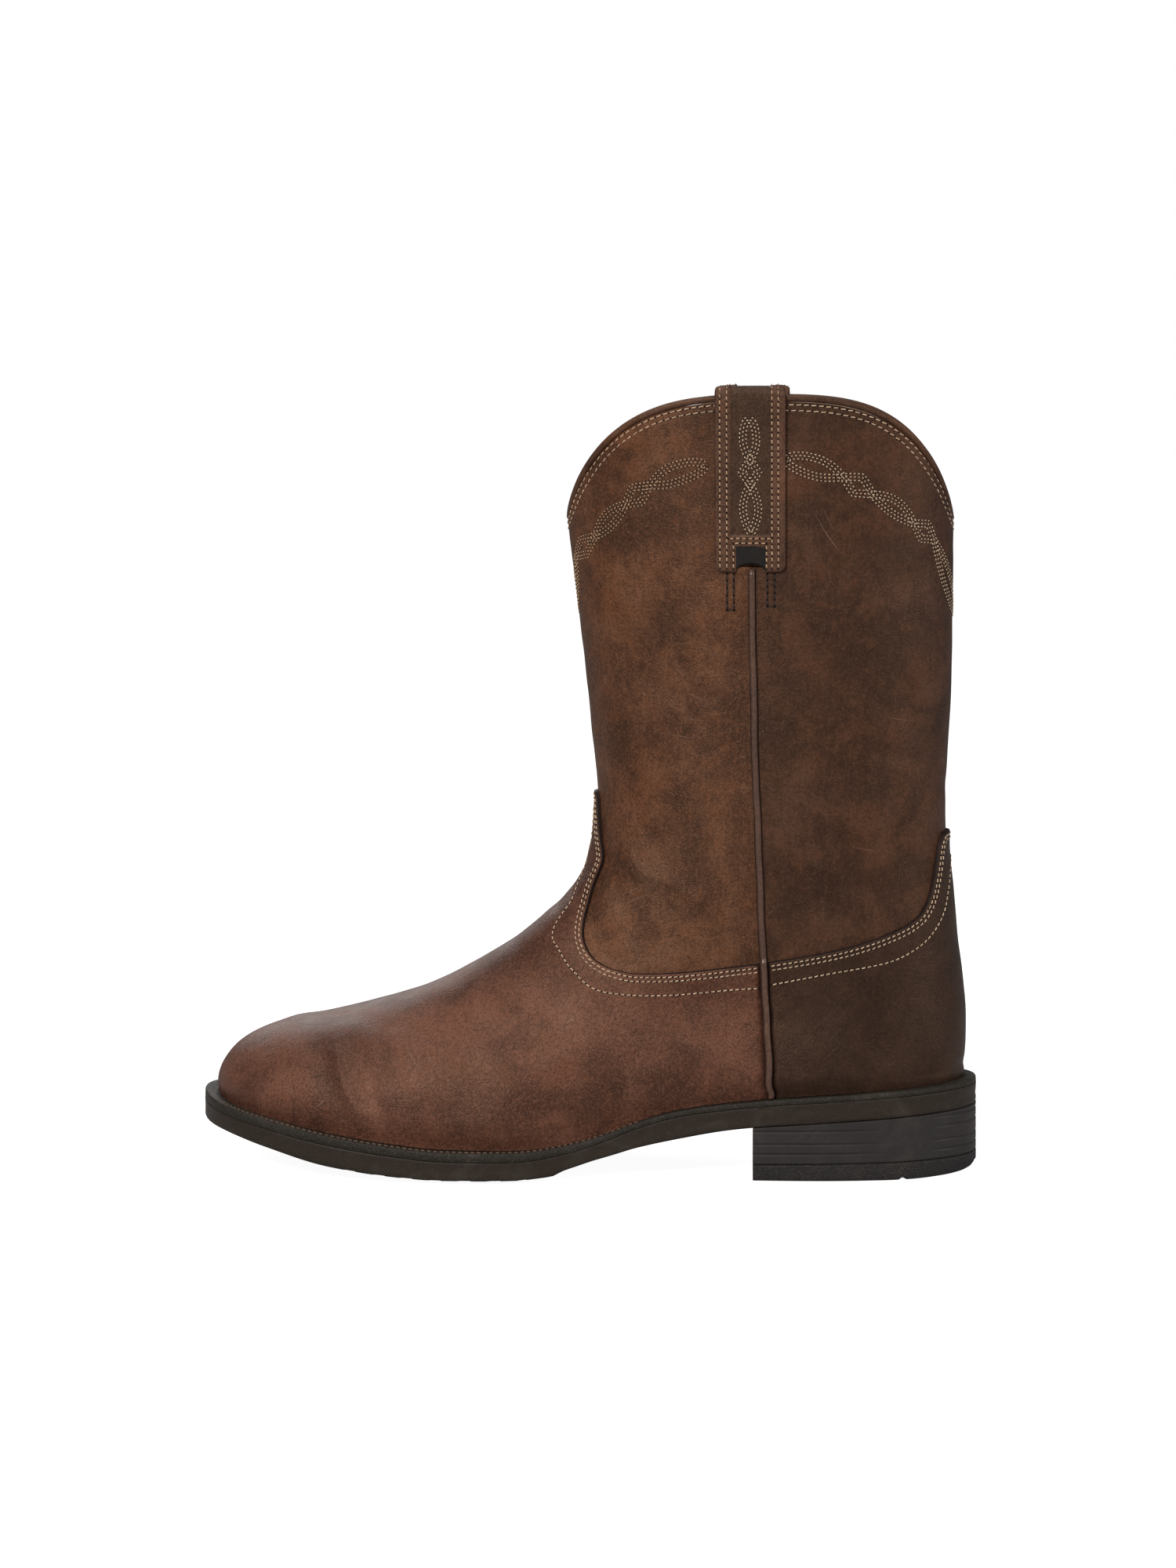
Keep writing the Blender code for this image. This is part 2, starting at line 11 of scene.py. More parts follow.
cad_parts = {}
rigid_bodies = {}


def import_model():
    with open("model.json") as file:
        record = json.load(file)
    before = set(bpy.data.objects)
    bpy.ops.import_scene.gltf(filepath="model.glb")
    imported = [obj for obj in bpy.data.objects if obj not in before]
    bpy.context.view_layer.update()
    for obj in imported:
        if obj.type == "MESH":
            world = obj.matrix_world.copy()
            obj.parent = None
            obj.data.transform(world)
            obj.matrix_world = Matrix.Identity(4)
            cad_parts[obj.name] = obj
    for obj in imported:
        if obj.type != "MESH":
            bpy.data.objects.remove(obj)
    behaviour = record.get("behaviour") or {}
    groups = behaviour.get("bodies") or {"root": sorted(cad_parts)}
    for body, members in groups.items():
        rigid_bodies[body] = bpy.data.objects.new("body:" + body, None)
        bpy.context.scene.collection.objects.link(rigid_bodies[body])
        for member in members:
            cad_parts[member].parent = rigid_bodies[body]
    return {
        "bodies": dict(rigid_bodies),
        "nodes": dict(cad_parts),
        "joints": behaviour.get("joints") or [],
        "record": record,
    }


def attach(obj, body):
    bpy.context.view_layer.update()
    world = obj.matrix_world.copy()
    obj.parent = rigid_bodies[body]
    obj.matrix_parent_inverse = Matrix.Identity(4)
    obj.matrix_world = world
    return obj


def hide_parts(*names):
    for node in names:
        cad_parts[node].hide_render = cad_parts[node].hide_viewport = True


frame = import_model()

bl_info = {
    "name": "Roper boot",
    "version": (1, 0, 0),
    "blender": (4, 5, 0),
    "location": "3D View > Sidebar > Boot",
    "description": "Builds the visible surfaces of a roper boot and its studio",
    "category": "Object",
}

MM = 0.001
FULL_TURN = 2 * math.pi
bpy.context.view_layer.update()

# Outline of the sole: along is a share of the length from the toe,
# outer and inner are shares of the ball width to each side of the middle.

OUTLINE = (
    # along, outer, inner
    (0.000, -0.038, 0.038),
    (0.028, 0.217, 0.274),
    (0.087, 0.358, 0.396),
    (0.185, 0.458, 0.481),
    (0.280, 0.493, 0.500),
    (0.369, 0.495, 0.453),
    (0.461, 0.448, 0.368),
    (0.566, 0.385, 0.317),
    (0.670, 0.351, 0.315),
    (0.775, 0.347, 0.334),
    (0.880, 0.312, 0.312),
    (0.959, 0.212, 0.218),
    (0.995, 0.078, 0.088),
    (1.000, -0.008, 0.008),
)

# Side view of the sole: heights in millimetres at a share of the length.

SOLE_SIDE = (
    # along, top, bottom
    (0.000, 27.9, 15.5),
    (0.040, 24.9, 13.6),
    (0.100, 21.5, 9.6),
    (0.180, 17.2, 4.2),
    (0.260, 14.0, 1.3),
    (0.330, 12.1, 0.0),
    (0.420, 11.9, 0.0),
    (0.440, 12.2, 0.4),
    (0.468, 13.4, 2.1),
    (0.476, 13.8, 3.8),
    (0.510, 16.1, 7.6),
    (0.540, 19.0, 10.1),
    (0.570, 22.3, 12.7),
    (0.620, 26.5, 15.8),
    (0.700, 29.8, 19.8),
    (0.760, 31.5, 21.3),
    (1.000, 35.8, 25.6),
)

# The bottom's edge rolls up round the tread in front, in millimetres.

TREAD_ROLL = 1.3
TREAD_ROLL_WIDTH = 7.0

# Where the foot's outline turns into rings, as rises, and how the collar's scallop is rounded.

START_RISE = 0.04
OVAL_RISE = 0.3
BOW_RISE = 0.42
DOME_FRONT = 2.9
DOME_REAR = 3.5
DOME_ROOT = 1.7
DOME_ROUND = 0.15

# Rings of the upper from sole to collar, as in the solid model.

RINGS = (
    # rise, front, front height, back, back height, ball, waist, heel, blunt front,
    # blunt back, lean
    (0.00, 0.018, 0.101, 0.984, 0.142, 1.45, 1.04, 0.98, 2.4, 4.6, 0.040),
    (0.04, 0.024, 0.131, 0.978, 0.160, 1.42, 1.05, 1.00, 2.4, 4.8, 0.038),
    (0.08, 0.040, 0.162, 0.980, 0.179, 1.40, 1.05, 1.01, 2.3, 5.0, 0.036),
    (0.12, 0.064, 0.184, 0.981, 0.200, 1.37, 1.04, 1.01, 2.2, 5.0, 0.034),
    (0.18, 0.112, 0.206, 0.981, 0.232, 1.34, 1.02, 1.00, 2.1, 4.8, 0.032),
    (0.25, 0.185, 0.225, 0.979, 0.278, 1.20, 0.99, 0.98, 2.0, 4.4, 0.030),
    (0.35, 0.295, 0.265, 0.973, 0.349, 1.03, 0.97, 0.96, 2.0, 3.8, 0.028),
    (0.45, 0.393, 0.327, 0.966, 0.427, 0.97, 0.97, 0.96, 2.1, 3.2, 0.024),
    (0.55, 0.473, 0.406, 0.961, 0.508, 0.98, 0.99, 0.98, 2.2, 2.8, 0.018),
    (0.62, 0.503, 0.466, 0.961, 0.568, 0.99, 1.00, 0.99, 2.2, 2.6, 0.012),
    (0.70, 0.513, 0.560, 0.964, 0.640, 1.00, 1.01, 1.00, 2.2, 2.4, 0.008),
    (0.80, 0.503, 0.692, 0.968, 0.745, 1.04, 1.04, 1.04, 2.2, 2.3, 0.004),
    (0.90, 0.488, 0.855, 0.970, 0.870, 1.10, 1.10, 1.10, 2.2, 2.3, 0.002),
    (1.00, 0.474, 0.990, 0.971, 0.990, 1.15, 1.15, 1.15, 2.2, 2.3, 0.000),
)

# Top edges of the overlays: turn is the angle round the boot from the toe, rise as above.

VAMP_TOP = (
    # turn, rise
    (0.000, 0.712), (0.100, 0.709), (0.175, 0.700), (0.260, 0.672), (0.380, 0.633),
    (0.480, 0.600), (0.536, 0.564), (0.634, 0.525), (0.780, 0.483), (0.918, 0.447),
    (1.081, 0.409), (1.213, 0.386), (1.345, 0.371), (1.555, 0.364), (1.900, 0.362),
)
COUNTER_TOP = (
    # turn, rise
    (1.800, 0.362), (2.108, 0.371), (2.382, 0.390), (2.581, 0.412), (2.712, 0.452),
    (2.790, 0.505), (2.840, 0.536), (2.950, 0.556), (3.142, 0.562),
)

# Side seam: place along the boot in millimetres by height.

SEAM = (
    # height, place
    (20, 74), (50, 72), (83, 70), (120, 68.5), (160, 67), (205, 66), (310, 65),
)

SEAM_HEIGHTS = (34, 45, 60, 75, 90, 110, 130, 150, 175, 200, 225, 250, 275, 296)
SEAM_CLEAR = 1.5

# Turn at which an overlay's top edge comes to the side seam.

SEAM_TURN = 1.85

# Single stitch rows below the overlays' double rows.

VAMP_GUARD = (
    # turn, rise
    (0.040, 0.690), (0.100, 0.640), (0.150, 0.600), (0.290, 0.562), (0.420, 0.532),
    (0.483, 0.506), (0.620, 0.470), (0.808, 0.436), (1.027, 0.389), (1.286, 0.334),
    (1.447, 0.321), (1.628, 0.313), (1.880, 0.304),
)
COUNTER_GUARD = (
    # turn, rise
    (1.820, 0.303), (2.142, 0.322), (2.402, 0.332), (2.601, 0.357), (2.832, 0.411),
    (3.015, 0.485), (3.142, 0.514),
)

# Stitched chain of leaves and squares round the shaft, on each side of the seam.

CHAIN = (
    # from turn, from rise, to turn, to rise, half width in millimetres, shape
    (1.704, 0.9365, 2.006, 0.9213, 3.4, "end leaf"),
    (2.006, 0.9213, 2.183, 0.9105, 3.5, "square"),
    (2.183, 0.9105, 2.484, 0.9059, 2.5, "leaf"),
    (2.484, 0.9059, 2.688, 0.9158, 3.4, "square"),
    (2.688, 0.9158, 3.1416, 0.884, 2.8, "leaf"),
), (
    (1.279, 0.9331, 0.950, 0.9285, 3.2, "end leaf"),
    (0.950, 0.9285, 0.774, 0.9246, 3.4, "square"),
    (0.774, 0.9246, 0.501, 0.9252, 2.5, "leaf"),
    (0.501, 0.9252, 0.203, 0.9445, 3.2, "square"),
    (0.203, 0.9445, 0.000, 0.897, 2.2, "leaf"),
)
CHAIN_PITCH = 1.3

# The pull straps: places are across and up from the lower edge, in millimetres.

STRAP_WIDTH = 27
STRAP_SEAM_HEIGHT = 290
STRAP_LOW = 234
STRAP_LOW_INSIDE = 250
STRAP_TOP = 306.5
STRAP = 1.8
STRAP_FREE = 0.9
STRAP_NOTCH = (5.8, 3.3)
STRAP_CORNER = 3.0
STRAP_LINES = 11
STRAP_CHAIN = (
    # across, from, across, to, half width, shape
    (-0.4, 59.1, 0, 43.5, 2.6, "end leaf"),
    (0, 43.5, 0, 33.9, 3.1, "square"),
    (0, 33.9, 0.3, 15.2, 2.9, "leaf"),
)
STRAP_ROWS = (
    # across, from, across, to
    (-11.5, 1.6, -11.5, 132), (-8.9, 1.6, -8.9, 132), (8.3, 1.6, 8.3, 132),
    (10.7, 1.6, 10.7, 132), (-8.2, 13.2, 8.3, 13.2), (-6.4, 11.4, 6.2, 11.4),
    (-6.4, 11.0, -6.4, 1.4), (6.2, 11.0, 6.2, 1.4),
)
STRAP_TAILS = (
    # side view: from x, from z, to x, to z
    (56.2, 233.5, 56.2, 219.5), (58.8, 233.5, 58.8, 219.5), (56.2, 219.5, 58.8, 219.5),
    (71.7, 233.5, 71.7, 221.0), (74.4, 233.5, 74.4, 221.0), (71.7, 221.0, 74.4, 221.0),
)

# Sole and heel: sizes in millimetres.

HEEL_BREAST = 66
HEEL_END = 152.5
HEEL_CAP = (6.2, 7.2)
HEEL_NOTCH = (124, 1.5, 1.3)  # place, half width, depth
HEEL_GROOVES = (
    # height at the front, height at the rear
    (27.8, 28.4), (22.5, 23.4), (18.7, 19.7), (13.9, 14.4), (10.1, 10.7),
)
GROOVE_FADE = (100, 122, 132, 146)  # strong before, gone from, gone to, strong behind
GROOVE_DEPTH = 0.5
GROOVE_UNDER, GROOVE_OVER = 0.25, 0.8
TREAD = (-88, 11, 7, 1.5, 1.2)  # first groove, pitch, count, half width, depth

# Fine pale scratches in side view, in millimetres.

SCRATCHES = (
    # from x, from z, to x, to z, width, side (-1 outer, 1 inner)
    (-129, 42.6, -116.5, 47.6, 0.34, -1), (-126, 43.0, -119, 45.2, 0.25, -1),
    (-69, 51.5, -61, 41.0, 0.16, -1), (-66, 52.0, -62, 47.0, 0.13, -1),
    (-60, 50.0, -57, 43.5, 0.12, -1), (-102, 27.0, -98.5, 30.0, 0.3, -1),
    (90.0, 256.8, 99.8, 241.5, 0.18, -1), (93.0, 259.0, 98.0, 249.0, 0.12, -1),
    (14, 108, 24, 112.5, 0.16, -1), (15, 104.5, 27, 110, 0.16, -1), (17, 102, 25, 105, 0.12, -1),
    (41, 187, 49, 184, 0.14, -1), (38, 178, 47, 176.5, 0.13, -1), (33, 171, 44, 170, 0.12, -1),
    (-30, 58, -22, 63, 0.14, -1), (-8, 62, 4, 59, 0.2, -1), (118, 178, 128, 176, 0.14, -1),
    (104, 128, 116, 126, 0.12, -1), (-112, 34, -107, 41, 0.14, 1), (-60, 44, -50, 52, 0.18, 1),
    (20, 176, 34, 170, 0.14, 1), (96, 200, 108, 188, 0.14, 1), (40, 96, 56, 102, 0.14, 1),
)

# Soft troughs and ridges of the worn leather, in side view in millimetres.

CREASES = (
    # from x, from z, to x, to z, width, height, side (0 both, -1 outer, 1 inner)
    (-95, 45, -84, 21, 3.4, 0.60, 0),
    (-87, 48, -76, 24, 5, -0.62, 0),
    (-104, 50, -92, 22, 6, -0.42, 0),
    (-116, 52, -102, 32, 6, 0.22, 0),
    (-62, 62, -48, 30, 8, -0.30, 0),
    (-44, 70, -30, 40, 7, 0.30, 0),
    (-26, 84, -6, 56, 7, -0.40, 0),
    (-14, 96, 4, 70, 6, 0.35, 0),
    (-2, 106, 12, 84, 5, -0.35, 0),
    (4, 128, 22, 92, 4, -0.35, 0),
    (8, 140, 30, 100, 5, 0.35, 0),
    (12, 150, 34, 118, 3, -0.25, 0),
    (18, 120, 44, 108, 4, 0.25, 0),
    (14, 200, 46, 178, 4, -0.25, -1),
    (24, 186, 52, 186, 3, -0.22, -1),
    (30, 196, 56, 172, 3, 0.20, -1),
    (8, 235, 14, 160, 8, 0.45, 0),
    (30, 240, 28, 130, 10, -0.45, 0),
    (50, 215, 46, 110, 9, 0.35, 0),
    (98, 232, 100, 130, 10, -0.40, 0),
    (112, 210, 108, 120, 6, 0.30, 0),
    (124, 190, 138, 150, 5, -0.35, 0),
    (112, 165, 138, 158, 4, -0.30, -1),
    (120, 130, 136, 108, 5, -0.30, 0),
    (84, 62, 120, 48, 9, -0.30, 0),
    (20, 60, 52, 44, 10, 0.30, 0),
)


CREASE_STRENGTH = 1.3
CREASE_FALL = 1.6
CREASE_END = 2.5
CREASE_REACH_ALONG, CREASE_REACH_UP = 60, 70


def smooth(share):
    share = min(1, max(0, share))
    return share * share * (3 - 2 * share)


def sided(turn, outer):
    """Angle round the boot of a turn from the toe on one side."""
    return turn if outer else FULL_TURN - turn


def spline(rows, at, column):
    """Value of a column at a place in the first one, on a curve without overshoot."""
    last = len(rows) - 2
    i = 0
    while i < last and at > rows[i + 1][0]:
        i += 1
    here, there = rows[i], rows[i + 1]
    span = there[0] - here[0]
    share = min(1, max(0, (at - here[0]) / span))

    def slope(j):
        if j == 0 or j == len(rows) - 1:
            near = rows[1] if j == 0 else rows[-2]
            return (near[column] - rows[j][column]) / (near[0] - rows[j][0])
        before = (rows[j][column] - rows[j - 1][column]) / (rows[j][0] - rows[j - 1][0])
        after = (rows[j + 1][column] - rows[j][column]) / (rows[j + 1][0] - rows[j][0])
        if before * after <= 0:
            return 0
        return 2 * before * after / (before + after)

    a, b = slope(i) * span, slope(i + 1) * span
    rise = there[column] - here[column]
    return here[column] + share * (a + share * (3 * rise - 2 * a - b + share * (a + b - 2 * rise)))


class Form:
    """The boot's shape as functions of its sizes."""

    RISE_STEPS = 1500
    TURN_STEPS = 1440

    def __init__(self, sizes):
        self.length = sizes.length
        self.ball = sizes.ball_width
        self.instep = sizes.instep_width
        self.collar = sizes.collar_dip_height
        self.scallop = sizes.collar_scallop
        self.wall = sizes.wall
        self.overlay = sizes.overlay
        self.gap = sizes.gap
        self.turned = tuple((math.acos(1 - 2 * row[0]), *row[1:]) for row in OUTLINE)
        steps = range(self.RISE_STEPS + 1)
        self.rows = [[spline(RINGS, i / self.RISE_STEPS, column) for column in range(11)]
                     for i in steps]
        self.edges = [self.exact_foot_edge(FULL_TURN * i / self.TURN_STEPS)
                      for i in range(self.TURN_STEPS)]
        self.seams = self.found_seams()

    def along_of(self, x):
        return x / self.length + 0.5

    def sole_top(self, x):
        return spline(SOLE_SIDE, self.along_of(x), 1) * MM

    def sole_bottom(self, x):
        return spline(SOLE_SIDE, self.along_of(x), 2) * MM

    def tread_roll(self, x):
        return TREAD_ROLL * MM * (1 - smooth((self.along_of(x) - 0.44) / 0.06))

    def tread_rim(self, x):
        """Height of the bottom's edge round the tread."""
        return self.sole_bottom(x) + self.tread_roll(x)

    def outsole_top(self, x):
        thin = smooth((self.along_of(x) - 0.4) / 0.2)
        return self.sole_top(x) - (3.5 - 1.3 * thin) * MM

    def sole_edge(self, angle):
        angle %= FULL_TURN
        outer = angle <= math.pi
        turn = sided(angle, outer)
        x = (0.5 - 0.5 * math.cos(turn)) * self.length - self.length / 2
        side = spline(self.turned, turn, 1 if outer else 2) * self.ball
        return Vector((x, -side if outer else side, 0))

    def inset_edge(self, angle, inset):
        run = (self.sole_edge(angle + 0.02) - self.sole_edge(angle - 0.02)).normalized()
        inward = Vector((-run.y, run.x, 0))
        place = self.sole_edge(angle)
        if inward.dot(place) > 0:
            inward = -inward
        return place + inward * inset

    def ledge(self, x):
        along = self.along_of(x)
        return (3 + 2.5 * smooth((0.52 - along) / 0.2) + 2 * smooth((along - 0.82) / 0.16)) * MM

    def exact_foot_edge(self, angle, inset=0):
        edge = self.sole_edge(angle)
        return self.inset_edge(angle, self.ledge(edge.x) + self.overlay + self.gap + inset)

    def foot_edge(self, angle):
        place = (angle % FULL_TURN) / FULL_TURN * self.TURN_STEPS
        i = int(place)
        here, there = self.edges[i % self.TURN_STEPS], self.edges[(i + 1) % self.TURN_STEPS]
        return here.lerp(there, place - i)

    def row(self, rise):
        place = min(1, max(0, rise)) * self.RISE_STEPS
        i = min(self.RISE_STEPS - 1, int(place))
        share = place - i
        return [a + (b - a) * share for a, b in zip(self.rows[i], self.rows[i + 1])]

    def at(self, rise, angle):
        """Point of the upper's outer face, rise 0 at the sole and 1 at the collar."""
        (_, front, front_height, back, back_height, ball, waist, heel,
         blunt_front, blunt_back, lean) = self.row(rise)
        toe, heel_end = self.edges[0], self.edges[self.TURN_STEPS // 2]
        edge = self.foot_edge(angle)
        turn = angle % FULL_TURN
        cosine = math.cos(turn)
        low = (edge.x - toe.x) / (heel_end.x - toe.x)
        oval = smooth(rise / OVAL_RISE)
        share = low + (0.5 - 0.5 * cosine - low) * oval
        start = smooth(rise / START_RISE)
        front_x = toe.x + ((front - 0.5) * self.length - toe.x) * start
        back_x = heel_end.x + ((back - 0.5) * self.length - heel_end.x) * start
        x = front_x + (back_x - front_x) * share
        rise_line = front_height + (back_height - front_height) * share
        low_line = RINGS[0][2] + (RINGS[0][4] - RINGS[0][2]) * low
        z = rise_line * self.collar
        if rise < BOW_RISE:
            bow = self.sole_top(edge.x) + self.gap - low_line * self.collar
            z += bow * (1 - smooth(rise / BOW_RISE))
        full = DOME_FRONT if cosine > 0 else DOME_REAR
        dome = max(0, 1 - abs(cosine) ** full) ** (1 / DOME_ROOT)
        top = math.hypot(1, DOME_ROUND) - DOME_ROUND
        dome = (math.hypot(dome, DOME_ROUND) - DOME_ROUND) / top
        z += self.scallop * dome * smooth((rise - 0.35) / 0.65) ** 1.3
        widths = ((0, ball), (0.25, ball), (0.6, waist), (0.9, heel), (1, heel))
        wide = spline(widths, share, 1) * self.instep / 2
        blunt = blunt_front if cosine > 0 else blunt_back
        side = wide * max(0, 1 - abs(cosine) ** blunt) ** 0.5
        if turn <= math.pi:
            side = -side
        bulge = 1 + 0.06 * smooth(rise / 0.06) - 0.05 * smooth((rise - 0.1) / 0.2)
        y = edge.y * bulge * (1 - oval) + (side + lean * self.ball) * oval
        return Vector((x, y, z))

    def frame(self, rise, angle):
        """Point, outward normal and the two tangents per unit of rise and of angle."""
        step = 0.004
        high, low = min(1, rise + step), max(0, rise - step)
        up = (self.at(high, angle) - self.at(low, angle)) / (high - low)
        along = (self.at(rise, angle + step) - self.at(rise, angle - step)) / (2 * step)
        normal = along.cross(up)
        if rise <= 0:
            normal.z = 0
        normal.normalize()
        return self.at(rise, angle), normal, up, along

    def moved(self, rise, angle, move):
        """Rise and angle after a short move along the surface."""
        _, _, up, along = self.frame(rise, angle)
        uu, ua, aa = up.dot(up), up.dot(along), along.dot(along)
        mu, ma = move.dot(up), move.dot(along)
        low = uu * aa - ua * ua
        return rise + (mu * aa - ma * ua) / low, angle + (ma * uu - mu * ua) / low

    def shifted(self, rise, angle, level, upward):
        """Rise and angle after a move along the surface, level and upward in metres."""
        _, normal, _, along = self.frame(rise, angle)
        level_way = along.normalized()
        if angle % FULL_TURN > math.pi:
            level_way = -level_way
        up_way = normal.cross(level_way)
        if up_way.z < 0:
            up_way = -up_way
        return self.moved(rise, angle, level_way * level + up_way * upward)

    def on_side(self, x, z, outer=True):
        """Rise and angle of the point seen at a place in side view."""
        def angle_at(rise):
            low, high = 0, math.pi
            for _ in range(15):
                middle = (low + high) / 2
                if self.at(rise, middle).x < x:
                    low = middle
                else:
                    high = middle
            return middle
        low, high = 0, 1
        for _ in range(15):
            rise = (low + high) / 2
            if self.at(rise, angle_at(rise)).z < z:
                low = rise
            else:
                high = rise
        turn = angle_at(rise)
        return rise, sided(turn, outer)

    def seam_turn(self, rise, outer):
        """Angle of the side seam at a rise."""
        return spline(self.seams[outer], rise, 1)

    def seam_spread(self, rise, outer):
        """Metres along the boot for a turn of one at the side seam."""
        return spline(self.seams[outer], rise, 2)

    def found_seams(self):
        """Rows of rise, angle and spread up both side seams."""
        seams = {}
        for outer in (True, False):
            seams[outer] = []
            for z in SEAM_HEIGHTS:
                rise, angle = self.on_side(spline(SEAM, z, 1) * MM, z * MM, outer)
                spread = self.frame(rise, angle)[3].length
                seams[outer].append((rise, angle, spread))
        return seams

    def overlay_reach(self, rise, outer, back):
        """Turn from the toe or from the heel to the edge beside a seam, and the spread there."""
        seam = self.seam_turn(rise, outer)
        turn = sided(seam, outer)
        spread = self.seam_spread(rise, outer)
        return (math.pi - turn if back else turn) - SEAM_CLEAR * MM / spread, spread

    def relief(self, point):
        """Outward relief of the worn leather at a point."""
        x, z = point.x / MM, point.z / MM
        total = 0
        for ax, az, bx, bz, width, height, side in CREASES:
            if side and side * point.y < 0:
                continue
            if abs(x - (ax + bx) / 2) > CREASE_REACH_ALONG + width:
                continue
            if abs(z - (az + bz) / 2) > CREASE_REACH_UP + width:
                continue
            dx, dz = bx - ax, bz - az
            share = ((x - ax) * dx + (z - az) * dz) / (dx * dx + dz * dz)
            near = min(1, max(0, share))
            away = math.hypot(x - ax - dx * near, z - az - dz * near)
            bent = away / width
            if bent < CREASE_END:
                total += height * math.exp(-bent * bent * CREASE_FALL)
        wide = noise.noise(point * 28) * 0.5 + noise.noise(point * 65) * 0.2
        return (total * CREASE_STRENGTH + wide + noise.noise(point * 150) * 0.07) * MM


# Materials

def made_material(name):
    """A material, the helper for its tree and its shader."""
    material = bpy.data.materials.new(name)
    material.use_nodes = True
    return material, Tree(material.node_tree), material.node_tree.nodes["Principled BSDF"]


class Tree:
    """Short hand for building a node tree."""

    def __init__(self, tree):
        self.tree = tree

    def add(self, kind, **settings):
        node = self.tree.nodes.new(kind)
        for name, value in settings.items():
            setattr(node, name, value)
        return node

    def link(self, start, end):
        self.tree.links.new(start, end)

    def feed(self, node, *pairs):
        """Sets sockets of a node to values, or links them to other nodes."""
        for socket, value in pairs:
            if isinstance(value, (int, float, tuple)):
                node.inputs[socket].default_value = value
            else:
                self.link(value, node.inputs[socket])
        return node

    def place(self):
        return self.add("ShaderNodeTexCoord").outputs["Object"]

    def noise(self, vector, scale, detail, rough=0.5, distortion=0.0, output="Fac"):
        node = self.feed(self.add("ShaderNodeTexNoise"), ("Vector", vector), ("Scale", scale),
                         ("Detail", detail), ("Roughness", rough), ("Distortion", distortion))
        return node.outputs[output]

    def cells(self, vector, scale):
        """Distance to the nearest edge of a pattern of cells."""
        node = self.add("ShaderNodeTexVoronoi", feature="DISTANCE_TO_EDGE")
        return self.feed(node, ("Vector", vector), ("Scale", scale)).outputs["Distance"]

    def mapped(self, value, low, high, start=0.0, end=1.0):
        node = self.add("ShaderNodeMapRange", interpolation_type="SMOOTHSTEP")
        self.feed(node, ("Value", value), ("From Min", low), ("From Max", high),
                  ("To Min", start), ("To Max", end))
        return node.outputs["Result"]

    def vector(self, operation, *values, output="Vector"):
        node = self.add("ShaderNodeVectorMath", operation=operation)
        return self.feed(node, *enumerate(values)).outputs[output]

    def chained(self, operation, first, *others):
        for other in others:
            node = self.add("ShaderNodeMath", operation=operation)
            first = self.feed(node, (0, first), (1, other)).outputs[0]
        return first

    def times(self, *values):
        return self.chained("MULTIPLY", *values)

    def plus(self, *values):
        return self.chained("ADD", *values)

    def mix(self, share, first, second):
        node = self.add("ShaderNodeMix", data_type="RGBA")
        return self.feed(node, (0, share), (6, first), (7, second)).outputs[2]

    def spot(self, place, centre, reach):
        """Soft mask round a place: 1 within, 0 beyond the reach in metres."""
        away = self.vector("SUBTRACT", place, centre)
        scaled = self.vector("MULTIPLY", away, tuple(1 / side for side in reach))
        return self.mapped(self.vector("LENGTH", scaled, output="Value"), 1.0, SPOT_CORE)

    def bump(self, shader, height, strength, distance):
        """Joins a height to the normal of the shader."""
        node = self.feed(self.add("ShaderNodeBump"), ("Strength", strength),
                         ("Distance", distance), ("Height", height))
        self.link(node.outputs["Normal"], shader.inputs["Normal"])


def group(name, inputs, outputs):
    tree = bpy.data.node_groups.new(name, "ShaderNodeTree")
    for label, kind, default in inputs:
        socket = tree.interface.new_socket(name=label, in_out="INPUT", socket_type=kind)
        if default is not None:
            socket.default_value = default
    for label, kind in outputs:
        tree.interface.new_socket(name=label, in_out="OUTPUT", socket_type=kind)
    return tree, tree.nodes.new("NodeGroupInput"), tree.nodes.new("NodeGroupOutput")
